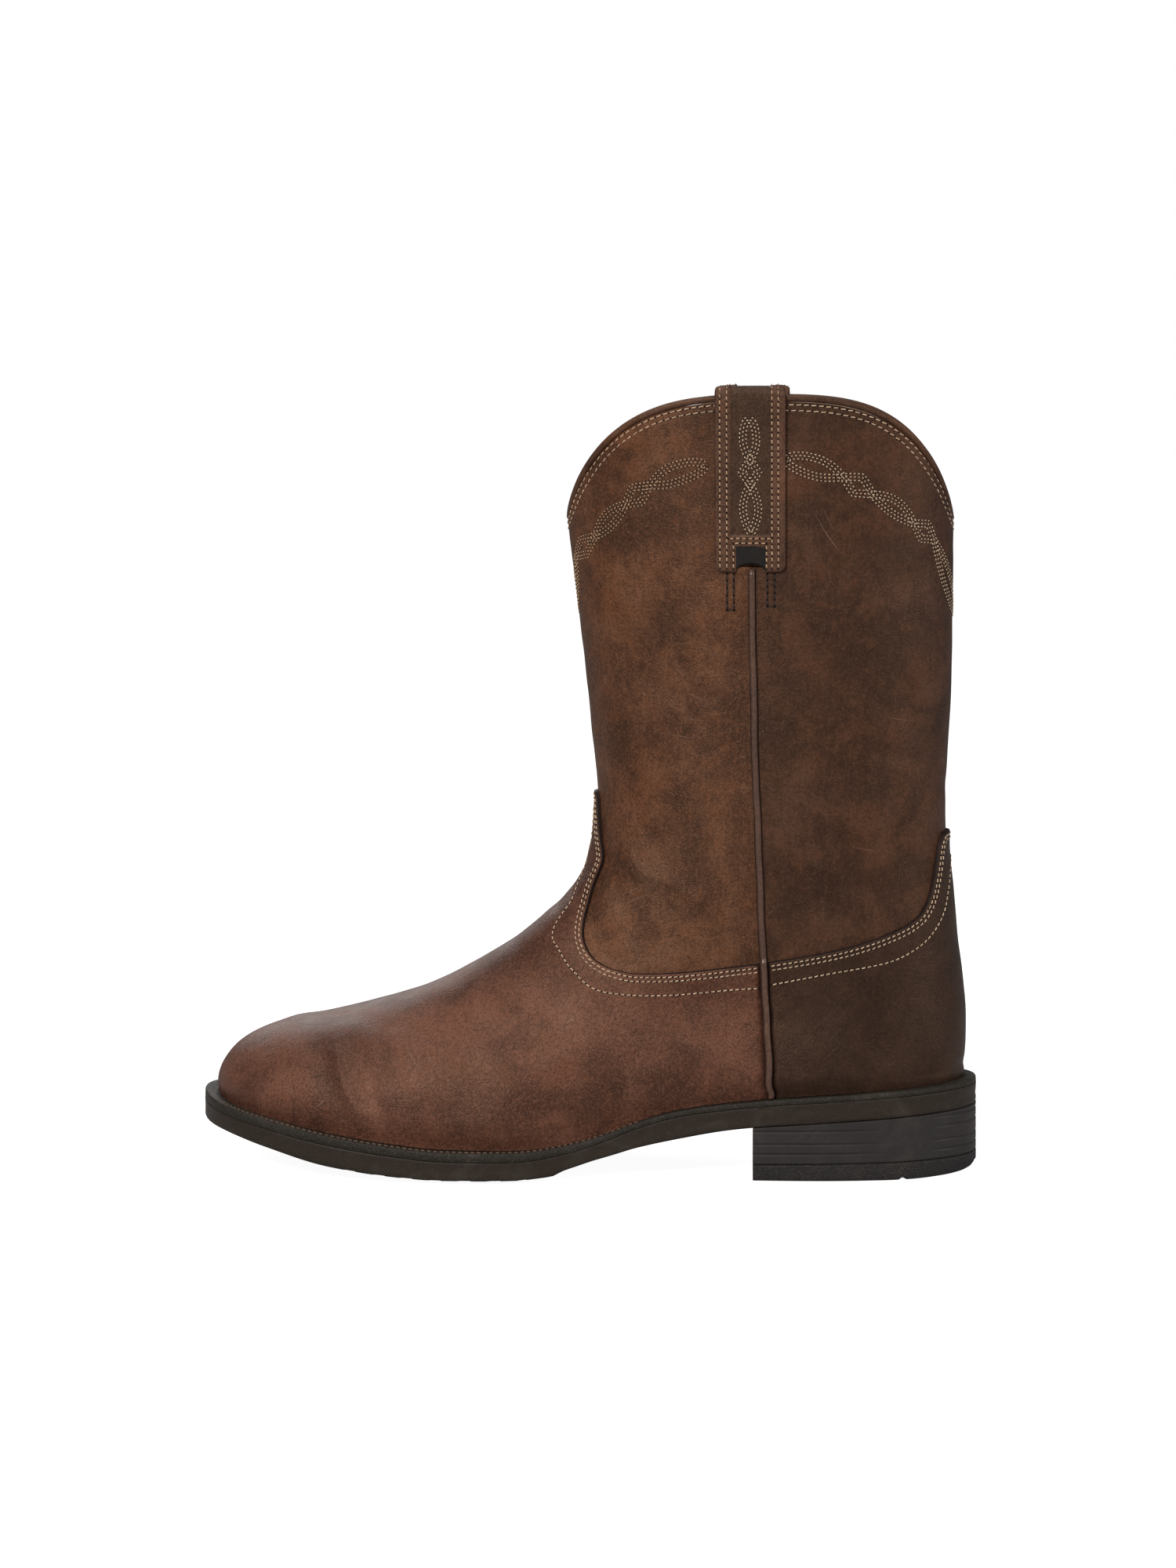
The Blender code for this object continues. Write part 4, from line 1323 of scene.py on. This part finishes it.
class Strap:
    """Pull strap folded over the collar at a side seam; sizes in millimetres."""

    def __init__(self, form, outer):
        self.outer = outer
        self.lines = []
        for i in range(STRAP_LINES):
            share = 2 * i / (STRAP_LINES - 1) - 1
            x = (spline(SEAM, STRAP_SEAM_HEIGHT, 1) + share * STRAP_WIDTH / 2) * MM
            _, top_angle = form.on_side(x, 1, outer)
            top = form.at(1, top_angle).z / MM - 0.5
            radius = form.wall / MM / 2 + STRAP_FREE
            spring = STRAP_TOP - 0.8 * abs(share) ** 6 - radius - STRAP
            line = []
            for step in range(13):
                z = STRAP_LOW + (top - STRAP_LOW) * step / 12
                here, normal, _, _ = form.frame(*form.on_side(x, z * MM, outer))
                away = 0.3 + (STRAP_FREE - 0.3) * step / 12
                line.append((here + normal * away * MM, normal))
            here, normal, _, _ = form.frame(1, top_angle)
            normal.z = 0
            normal.normalize()
            middle = here - normal * form.wall / 2
            for step in range(19):
                turn = math.pi * step / 18
                way = normal * math.cos(turn) + Vector((0, 0, math.sin(turn)))
                centre = Vector((middle.x, middle.y, spring * MM))
                line.append((centre + way * radius * MM, way))
            for step in range(9):
                z = top + (STRAP_LOW_INSIDE - top) * step / 8
                here, normal, _, _ = form.frame(*form.on_side(x, z * MM, outer))
                away = STRAP_FREE + (0.3 - STRAP_FREE) * step / 8
                line.append((here - normal * (form.wall + away * MM), -normal))
            self.lines.append(line)
        self.runs = [0]
        middle_line = self.lines[STRAP_LINES // 2]
        for (a, _), (b, _) in zip(middle_line, middle_line[1:]):
            self.runs.append(self.runs[-1] + (b - a).length / MM)
        self.length = self.runs[-1]

    def at(self, across, run, out):
        """Point and normal at a place across and along the strap."""
        side = across if self.outer else -across
        place = min(1, max(0, side / STRAP_WIDTH + 0.5)) * (STRAP_LINES - 1)
        i = min(STRAP_LINES - 2, int(place))
        j = 0
        while j < len(self.runs) - 2 and self.runs[j + 1] < run:
            j += 1
        up = min(1, max(0, (run - self.runs[j]) / (self.runs[j + 1] - self.runs[j])))
        corners = []
        for line in (self.lines[i], self.lines[i + 1]):
            low, high = line[j], line[j + 1]
            corners.append((low[0].lerp(high[0], up), low[1].lerp(high[1], up)))
        point = corners[0][0].lerp(corners[1][0], place - i)
        normal = corners[0][1].lerp(corners[1][1], place - i).normalized()
        return point + normal * out * MM, normal


def strap_region(across, run):
    """Masks of the side strips, the frame and the window."""
    side = abs(across)
    strip = smooth((side - 7.5) / 0.4)
    frame = smooth((14.4 - run) / 0.4)
    window = smooth((5.9 - side) / 0.4) * smooth((10.3 - run) / 0.4)
    return strip, frame, window


STRAP_BODY = 0.95  # thickness of the strap's middle layer, in millimetres


def strap_thickness(across, run):
    strip, frame, window = strap_region(across, run)
    edge = max(0, 1 - (STRAP_WIDTH / 2 - abs(across)) / 0.7)
    return STRAP_BODY + 0.55 * max(strip, frame * 0.7) - 0.45 * window - 0.5 * edge ** 2


def strap_start(across):
    """Where the strap's lower edge begins: notch over the cord and round corners."""
    half, high = STRAP_NOTCH
    notch = high * math.sqrt(max(0, 1 - (across / half) ** 2))
    over = max(0, abs(across) - (STRAP_WIDTH / 2 - STRAP_CORNER))
    corner = STRAP_CORNER - math.sqrt(max(0, STRAP_CORNER ** 2 - over ** 2))
    return notch + corner


def pull_straps(form):
    columns, rows = 68, 230
    half = STRAP_WIDTH / 2
    for outer in (True, False):
        strap = Strap(form, outer)
        places = [half * math.copysign(abs(2 * i / (columns - 1) - 1) ** 0.92, 2 * i - columns + 1)
                  for i in range(columns)]
        points, kinds = [], []

        def run_at(across, share):
            start = strap_start(across)
            return start + (strap.length - start) * share

        for j in range(rows + 1):
            share = j / rows
            for across in places:
                run = run_at(across, share)
                low = min(1, (run - strap_start(across)) / 0.6)
                out = strap_thickness(across, run) * (0.45 + 0.55 * low)
                points.append(strap.at(across, run, out)[0])
            for across in (half * 0.985, -half * 0.985):
                points.append(strap.at(across, run_at(across, share), 0.02)[0])
            if j == rows:
                break
            for i in range(columns + 2):
                across = places[i] if i < columns else half
                run = run_at(across, share + 0.5 / rows)
                strip, frame, window = strap_region(across, run)
                if i < columns and window > 0.5:
                    kinds.append(2)
                else:
                    kinds.append(int(i < columns and strip < 0.5 and frame < 0.5))
        count = columns + 2
        faces = grid_faces(rows + 1, count, True) + end_faces(rows + 1, count)
        if not outer:
            faces = [face[::-1] for face in faces]
        kinds += [0, 0]
        side = "outer" if outer else "inner"
        piece(f"strap_{side}", points, faces, ("strap_hide", "strap_dark", "window_hide"),
              "leather_brown", f"pull_strap_{side}", kinds=kinds)
        sewing = Sewing()
        for ax, ar, bx, br in STRAP_ROWS:
            row = []
            for i in range(61):
                across = ax + (bx - ax) * i / 60
                run = ar + (min(br, strap.length - 1.5) - ar) * i / 60
                if run < strap_start(across) + 1.0:
                    continue
                thick = strap_thickness(across, run)
                row.append(strap.at(across, run, thick))
            sewing.row(row, "strap")
        sewing.made(f"strap_{side}_stitches", "thread_tan", "leather_brown")
        sewing = Sewing()
        for wave in chain_waves(STRAP_CHAIN):
            flat = []
            for (ax, ar, bx, br, _, _), share, offset in wave:
                flat.append((ax + (bx - ax) * share + offset, ar + (br - ar) * share))
            row = [strap.at(across, run, STRAP_BODY) for across, run in flat]
            for spread in (-STRAP_CHAIN_PITCH, 0, STRAP_CHAIN_PITCH):
                sewing.row(beside(row, spread * MM) if spread else row, "strap chain")
        sewing.made(f"strap_{side}_chain", "thread_pale", "leather_brown")
    sewing = Sewing()
    for outer in (True, False):
        for ax, az, bx, bz in STRAP_TAILS:
            line = [form.on_side((ax + (bx - ax) * i / 6) * MM,
                                 (az + (bz - az) * i / 6) * MM, outer) for i in range(7)]
            sewing.row(laid(form, line), "tail")
    sewing.made("strap_tails", "thread_brown", "leather_brown")


# Sole

OUTSOLE_RINGS = (
    # inset in millimetres, share of the height
    (9, 1), (0.9, 1), (0.25, 1), (0.04, 0.985), (0.0, 0.93), (0.06, 0.8), (0.12, 0.62),
    (0.12, 0.42), (0.08, 0.24), (0.12, 0.12), (0.4, 0.04),
)
WELT_RINGS = (
    # inset in millimetres (none for the foot of the upper), share of the height, lift
    (None, 1, 0), (2.6, 1, 0), (1.9, 1, -0.14), (1.2, 1, 0), (0.7, 1, -0.05), (0.35, 1, -0.25),
    (0.15, 1, -0.6), (0.1, 0.5, 0), (0.04, 0, 0.18), (0.25, 0, 0.0), (1.6, 0, 0),
)
CAP_RINGS = (
    # inset and lift in millimetres, more inset at the rear, share of the height
    (1.5, 0.0, 3.4, 0), (0.9, 0.15, 2.1, 0), (0.5, 0.5, 1.2, 0), (0.25, 1.0, 0.6, 0),
    (0.12, 1.6, 0.2, 0), (0.1, 0.0, 0.0, 0.5), (0.06, 0.0, 0.0, 0.8), (0.1, -0.3, 0, 1),
    (0.4, 0.0, 0, 1),
)
TREAD_SHARES = (0, 0.04, 0.12, 0.22, 0.34, 0.48, 0.64, 0.82, 1.0)
HEEL_ROWS = 65


def groove_depth(x, z):
    """Depth of the heel's side grooves in millimetres at a place along and up."""
    fore, fade, back, full = GROOVE_FADE
    strong = max(1 - smooth((x - fore) / (fade - fore)), smooth((x - back) / (full - back)))
    rear = (x - HEEL_BREAST) / (HEEL_END - HEEL_BREAST)
    total = 0
    for front_height, rear_height in HEEL_GROOVES:
        away = z - (front_height + (rear_height - front_height) * rear)
        if -GROOVE_UNDER < away < GROOVE_OVER:
            total = max(total, 1 - abs(away) / (GROOVE_UNDER if away < 0 else GROOVE_OVER))
    return GROOVE_DEPTH * total * strong


def outline(form, inset, height, columns, start=0.0, end=FULL_TURN, closed=True):
    """Ring of points round the sole; inset and height are functions of the place along."""
    ring = []
    for i in range(columns):
        angle = start + (end - start) * i / (columns if closed else columns - 1)
        x = form.sole_edge(angle).x
        place = form.inset_edge(angle, inset(x) * MM)
        place.z = height(x)
        ring.append(place)
    return ring


def foot_ring(form, inset, lift, columns):
    """Ring of points inside the upper's foot, on the sole; inset and lift in millimetres."""
    ring = []
    for i in range(columns):
        place = form.exact_foot_edge(FULL_TURN * i / columns, form.wall + inset * MM)
        place.z = form.sole_top(place.x) + lift * MM
        ring.append(place)
    return ring


def sole_pieces(form):
    columns = 480
    rows = []
    for inset, share in OUTSOLE_RINGS:
        def height(x, share=share):
            low = form.tread_rim(x)
            return low + (form.outsole_top(x) - 0.08 * MM - low) * share

        def side(x, inset=inset, share=share):
            if x < HEEL_BREAST * MM or not 0.05 < share < 0.99:
                return inset
            return inset + groove_depth(x / MM, height(x, share) / MM)
        rows.append(outline(form, side, height, columns))
    rim = outline(form, lambda x: 1.0, form.tread_rim, columns)
    first, pitch, grooves, half, depth = TREAD
    for s in TREAD_SHARES:
        row = []
        for place in rim:
            spine = Vector((min(112 * MM, max(-105 * MM, place.x)), 3 * MM, 0))
            edge = Vector((place.x, place.y, 0))
            here = edge.lerp(spine, s)
            near = max(0, 1 - (here - edge).length / (TREAD_ROLL_WIDTH * MM))
            z = form.sole_bottom(here.x)
            z += (form.tread_rim(here.x) - z) * near
            for number in range(grooves):
                away = abs(here.x / MM - first - number * pitch)
                z += depth * MM * smooth((half + 0.4 - away) / 0.8)
            row.append(Vector((here.x, here.y, z)))
        rows.append(row)
    ring_piece("outsole_rubber", rows, "outsole_rubber", "rubber_black", "outsole", flip=True)
    rows = []
    for inset, share, drop in WELT_RINGS:
        def height(x, share=share, drop=drop):
            low = form.outsole_top(x)
            return low + (form.sole_top(x) - low) * share + drop * MM

        if inset is None:
            rows.append(foot_ring(form, 0, 0, columns))
        else:
            rows.append(outline(form, lambda x, inset=inset: inset, height, columns))
    ring_piece("welt_strip", rows, "welt_rubber", "rubber_black", "welt", flip=True)
    sewing = Sewing()
    for outer in (True, False):
        row = []
        for i in range(301):
            turn = sided(WELT_SEWN * i / 300, outer)
            place = form.inset_edge(turn, 1.9 * MM)
            place.z = form.sole_top(place.x) - 0.05 * MM
            row.append((place, Vector((0, 0, 1))))
        sewing.row(row, "welt")
    sewing.made("welt_stitches", "thread_welt", "rubber_black")


def heel_pieces(form):
    breast = HEEL_BREAST * MM
    start = math.acos(1 - 2 * form.along_of(breast))
    columns, across = 420, 24
    end = FULL_TURN - start

    def heel_ring(inset, height):
        ring = outline(form, inset, height, columns, start, end, False)
        for point in ring:
            point.x = max(point.x, breast)
        first, last = ring[0], ring[-1]
        for i in range(1, across):
            point = last.lerp(first, i / across)
            point.x += 0.9 * MM * math.sin(math.pi * i / across)
            ring.append(point)
        return ring

    def cap_top(x):
        rear = max(0, (x - breast) / (form.length / 2 - breast))
        return (HEEL_CAP[0] + (HEEL_CAP[1] - HEEL_CAP[0]) * rear) * MM

    rows = []
    for j in range(HEEL_ROWS + 1):
        share = j / HEEL_ROWS

        def height(x, share=share):
            low = cap_top(x) + 0.15 * MM
            return low + (form.sole_bottom(x) - 0.15 * MM - low) * share

        def inset(x, share=share):
            base = 0.1 + 0.35 * max(0, 1 - share / 0.03)
            return base + groove_depth(x / MM, height(x, share) / MM)
        rows.append(heel_ring(inset, height))
    ring_piece("heel_rubber", rows, "heel_rubber", "rubber_black", "heel_block", ends=True)

    place, half, depth = HEEL_NOTCH

    def notch(x):
        return depth * MM * max(0, 1 - abs(x / MM - place) / half)

    def rear(x):
        return smooth((x / MM - 126) / 26)

    rows = [heel_ring(lambda x: 9 + rear(x), notch)]
    for inset, lift, rear_inset, share in CAP_RINGS:
        def height(x, lift=lift, share=share):
            low = notch(x) * (1 if lift < 1 and share == 0 else 0)
            raised = lift * (1 + 1.3 * rear(x)) if share == 0 else lift
            return low + raised * MM + cap_top(x) * share
        rows.append(heel_ring(lambda x, a=inset, b=rear_inset: a + b * rear(x), height))
    ring_piece("heel_tread", rows, "cap_rubber", "rubber_black", "heel_cap", ends=True)


def insole_piece(form):
    columns = 240
    rows = []
    for inset, lift in ((0.5, 0.1), (0.5, 1.5), (0.8, 1.9), (1.4, 2.0)):
        rows.append(foot_ring(form, inset, lift, columns))
    for s in (0.15, 0.35, 0.6, 0.8, 1.0):
        ring = []
        for place in rows[3]:
            spine = Vector((min(105 * MM, max(-100 * MM, place.x)), 3 * MM, 0))
            here = Vector((place.x, place.y, 0)).lerp(spine, s)
            here.z = form.sole_top(here.x) + (2.0 - 0.7 * math.sin(math.pi / 2 * s)) * MM
            ring.append(here)
        rows.append(ring)
    ring_piece("insole_cover", rows, "insole_board", "insole_tan", "insole")


FORMS = {}


def boot_form(context):
    """The form of the present sizes, worked out once."""
    sizes = context.scene.boot_sizes
    key = tuple(round(getattr(sizes, name), 7) for name in
                ("length", "ball_width", "instep_width", "collar_dip_height", "collar_scallop",
                 "wall", "overlay", "gap"))
    if key not in FORMS:
        FORMS[key] = Form(sizes)
    return FORMS[key]


def overlay_pieces(form):
    overlay_piece(form, "vamp_leather", "vamp", VAMP_TOP, False, 340, 130, "vamp_hide")
    overlay_piece(form, "counter_leather", "counter", COUNTER_TOP, True, 240, 110, "counter_hide")


class BuildStep:
    """What the operators of the boot's groups share"""

    def execute(self, context):
        for step in self.steps:
            step(boot_form(context))
        return {"FINISHED"}


class BuildUpper(BuildStep, bpy.types.Operator):
    """Leather wall of foot and shaft with its lining"""

    bl_idname = "boot.build_upper"
    bl_label = "Upper"
    steps = (upper_pieces,)


class BuildOverlays(BuildStep, bpy.types.Operator):
    """Vamp and counter, side cords and collar bead"""

    bl_idname = "boot.build_overlays"
    bl_label = "Overlays"
    steps = (overlay_pieces, side_cords, collar_bead)


class BuildStraps(BuildStep, bpy.types.Operator):
    """Pull straps with their strips, window, stitches and tails"""

    bl_idname = "boot.build_straps"
    bl_label = "Pull straps"
    steps = (pull_straps,)


class BuildStitches(BuildStep, bpy.types.Operator):
    """Stitch rows, the stitched chain and the scratches"""

    bl_idname = "boot.build_stitches"
    bl_label = "Stitches"
    steps = (seam_stitches, collar_stitches, chain_stitches, scratch_marks)


class BuildSole(BuildStep, bpy.types.Operator):
    """Welt, outsole, heel and insole"""

    bl_idname = "boot.build_sole"
    bl_label = "Sole"
    steps = (sole_pieces, heel_pieces, insole_piece)


class BuildStage(bpy.types.Operator):
    """Pale floor, soft studio light and the camera"""

    bl_idname = "boot.build_stage"
    bl_label = "Studio"

    LAMPS = (
        # name, place, aim, size, power
        ("key_left", (-0.7, -1.8, 1.25), (-0.02, 0, 0.12), 0.7, 32),
        ("fill_right", (1.7, -0.7, 0.8), (0.05, 0, 0.15), 0.8, 11),
        ("top_soft", (-0.2, -0.1, 1.9), (0.0, 0.0, 0.1), 0.9, 10),
        ("rim_back", (-0.5, 1.5, 0.9), (0, 0, 0.15), 0.8, 6),
    )

    def execute(self, context):
        sizes = context.scene.boot_sizes
        colours = context.scene.boot_colours
        reach = 6.0
        floor_mesh = bpy.data.meshes.new("floor")
        floor_mesh.from_pydata([(-reach, -reach, 0), (reach, -reach, 0), (reach, reach, 0),
                                (-reach, reach, 0)], [], [(0, 1, 2, 3)])
        floor = bpy.data.objects.new("floor", floor_mesh)
        floor.location.z = -0.0002
        context.scene.collection.objects.link(floor)
        material, tree, shader = made_material("floor_paper")
        shader.inputs["Base Color"].default_value = (*colours.floor, 1)
        shader.inputs["Roughness"].default_value = 0.9
        shader.inputs["Specular IOR Level"].default_value = 0.1
        seen = tree.add("ShaderNodeLightPath").outputs["Is Camera Ray"]
        tree.link(tree.mix(seen, (0, 0, 0, 1), (1, 1, 1, 1)), shader.inputs["Emission Color"])
        shader.inputs["Emission Strength"].default_value = sizes.floor_glow
        floor_mesh.materials.append(material)
        world = bpy.data.worlds.new("studio")
        world.use_nodes = True
        nodes, links = world.node_tree.nodes, world.node_tree.links
        sky = nodes["Background"]
        sky.inputs["Color"].default_value = (1, 1, 1, 1)
        sky.inputs["Strength"].default_value = sizes.sky_strength
        paper = nodes.new("ShaderNodeBackground")
        paper.inputs["Strength"].default_value = 1.0
        paper.inputs["Color"].default_value = (1, 1, 1, 1)
        chosen = nodes.new("ShaderNodeMixShader")
        links.new(nodes.new("ShaderNodeLightPath").outputs["Is Camera Ray"], chosen.inputs[0])
        links.new(sky.outputs[0], chosen.inputs[1])
        links.new(paper.outputs[0], chosen.inputs[2])
        links.new(chosen.outputs[0], nodes["World Output"].inputs["Surface"])
        context.scene.world = world
        for name, place, aim, size, power in self.LAMPS:
            data = bpy.data.lights.new(name, "AREA")
            data.size = size
            data.energy = power
            lamp = bpy.data.objects.new(name, data)
            lamp.location = place
            way = Vector(aim) - Vector(place)
            lamp.rotation_euler = way.to_track_quat("-Z", "Y").to_euler()
            context.scene.collection.objects.link(lamp)
        data = bpy.data.cameras.new("camera")
        camera = bpy.data.objects.new("camera", data)
        turn = math.radians(sizes.camera_turn)
        reach = sizes.camera_reach
        camera.location = (reach * math.sin(turn), -reach * math.cos(turn), sizes.camera_height)
        camera.rotation_euler = (math.pi / 2, 0, turn)
        data.sensor_width = 36
        data.lens = sizes.camera_lens
        data.shift_y = sizes.camera_shift
        data.clip_start = 0.05
        data.clip_end = 20
        context.scene.collection.objects.link(camera)
        context.scene.camera = camera
        context.scene.view_settings.view_transform = "Standard"
        return {"FINISHED"}


def length_setting(label, text, metres):
    return FloatProperty(name=label, description=text, default=metres, unit="LENGTH")


def number_setting(label, text, number):
    return FloatProperty(name=label, description=text, default=number)


def colour_setting(label, text, colour):
    return FloatVectorProperty(name=label, description=text, subtype="COLOR", default=colour)


def factor_setting(label, text, factors):
    return FloatVectorProperty(name=label, description=text, default=factors)


class BootSizes(bpy.types.PropertyGroup):
    """Sizes of the boot and of its studio"""

    length: length_setting("Length", "Outsole from toe to heel", 0.305)
    ball_width: length_setting("Ball width", "Outsole across the ball", 0.106)
    instep_width: length_setting("Instep width", "Upper across the instep", 0.070)
    collar_dip_height: length_setting("Dip height", "Height of the collar at front and back",
                                      0.255)
    collar_scallop: length_setting("Scallop", "Rise of the collar at the sides", 0.047)
    wall: length_setting("Wall", "Thickness of the upper", 0.0022)
    overlay: length_setting("Overlay", "Thickness of vamp and counter", 0.0013)
    gap: length_setting("Gap", "Clearance between pieces", 0.0003)
    camera_reach: length_setting("Camera distance", "From the middle of the boot", 1.6)
    camera_height: length_setting("Camera height", "Above the floor", 0.31)
    camera_turn: number_setting("Camera turn", "Degrees towards the heel", 4.0)
    camera_lens: number_setting("Lens", "Focal length in millimetres", 93.1)
    camera_shift: number_setting("Shift", "Upward shift for framing", -0.261)
    sky_strength: number_setting("Sky", "Strength of the even light", 0.15)
    floor_glow: number_setting("Floor glow", "Own light of the floor", 0.95)


class BootColours(bpy.types.PropertyGroup):
    """Colours of the boot"""

    front_panel: colour_setting("Front panel", "Hide of the shaft's front panel",
                                (0.088, 0.035, 0.0175))
    back_panel: colour_setting("Back panel", "Hide of the shaft's back panel",
                               (0.053, 0.0225, 0.0132))
    vamp: colour_setting("Vamp", "Hide of the vamp", (0.096, 0.0375, 0.0230))
    counter: colour_setting("Counter", "Hide of the counter", (0.030, 0.0148, 0.0097))
    strap: colour_setting("Strap", "Side strips of the pull straps", (0.088, 0.041, 0.026))
    strap_middle: colour_setting("Strap middle", "Middle of the pull straps",
                                 (0.043, 0.022, 0.014))
    window: colour_setting("Strap window", "Smooth patch low on the pull straps",
                           (0.018, 0.015, 0.013))
    cord: colour_setting("Cord", "Side cords", (0.085, 0.042, 0.028))
    bead: colour_setting("Bead", "Collar bead", (0.075, 0.036, 0.022))
    # Edges: burnished cut edges, and the painted shade strips beside the side cords.
    edge: colour_setting("Edges", "Burnished cut edges", (0.022, 0.010, 0.007))
    # Holes: painted shade in the needle holes.
    hole: colour_setting("Holes", "Needle holes", (0.012, 0.006, 0.004))
    scratch: colour_setting("Scratches", "Fine pale scratches", (0.27, 0.16, 0.11))
    darker: factor_setting("Darker", "Dark places as a share of the hide's colour",
                           (0.36, 0.36, 0.40))
    paler_and_sheen: factor_setting("Paler", "Painted highlights and rubbed places as a share of the hide's colour",
                          (2.05, 2.20, 2.30))
    rustier: factor_setting("Rustier", "Warm places as a share of the hide's colour",
                            (1.70, 1.45, 1.10))
    lining: colour_setting("Lining", "Lining hide", (0.42, 0.30, 0.20))
    insole: colour_setting("Insole", "Insole cover", (0.30, 0.21, 0.14))
    thread: colour_setting("Pale thread", "Thread of the seams", (0.70, 0.50, 0.33))
    thread_tan: colour_setting("Tan thread", "Thread of straps and front chain",
                               (0.58, 0.38, 0.22))
    thread_brown: colour_setting("Brown thread", "Thread of the strap's tails",
                                 (0.030, 0.015, 0.010))
    thread_welt: colour_setting("Welt thread", "Thread along the welt", (0.15, 0.085, 0.05))
    rubber: colour_setting("Outsole", "Rubber of the outsole", (0.030, 0.021, 0.015))
    welt: colour_setting("Welt", "Rubber of the welt", (0.024, 0.019, 0.014))
    heel: colour_setting("Heel", "Rubber of the heel", (0.033, 0.028, 0.028))
    dust: colour_setting("Dust", "Dust on the rubber", (0.080, 0.066, 0.052))
    floor: colour_setting("Floor", "Studio floor", (0.50, 0.50, 0.50))


class BootPanel(bpy.types.Panel):
    """Sizes, colours and steps of the boot"""

    bl_idname = "VIEW3D_PT_boot"
    bl_label = "Roper boot"
    bl_space_type = "VIEW_3D"
    bl_region_type = "UI"
    bl_category = "Boot"

    def draw(self, context):
        for group_name in ("boot_sizes", "boot_colours"):
            values = getattr(context.scene, group_name)
            for name in values.__annotations__:
                self.layout.prop(values, name)
        for operator in OPERATORS:
            self.layout.operator(operator.bl_idname)


OPERATORS = (BuildUpper, BuildOverlays, BuildStraps, BuildStitches, BuildSole, BuildStage)
CLASSES = (BootSizes, BootColours, *OPERATORS, BootPanel)


def register():
    for made in CLASSES:
        bpy.utils.register_class(made)
    bpy.types.Scene.boot_sizes = PointerProperty(type=BootSizes)
    bpy.types.Scene.boot_colours = PointerProperty(type=BootColours)


def unregister():
    del bpy.types.Scene.boot_sizes
    del bpy.types.Scene.boot_colours
    for made in reversed(CLASSES):
        bpy.utils.unregister_class(made)


def main():
    register()
    bpy.ops.boot.build_upper()
    bpy.ops.boot.build_overlays()
    bpy.ops.boot.build_straps()
    bpy.ops.boot.build_stitches()
    bpy.ops.boot.build_sole()
    bpy.ops.boot.build_stage()


if __name__ == "__main__":
    main()
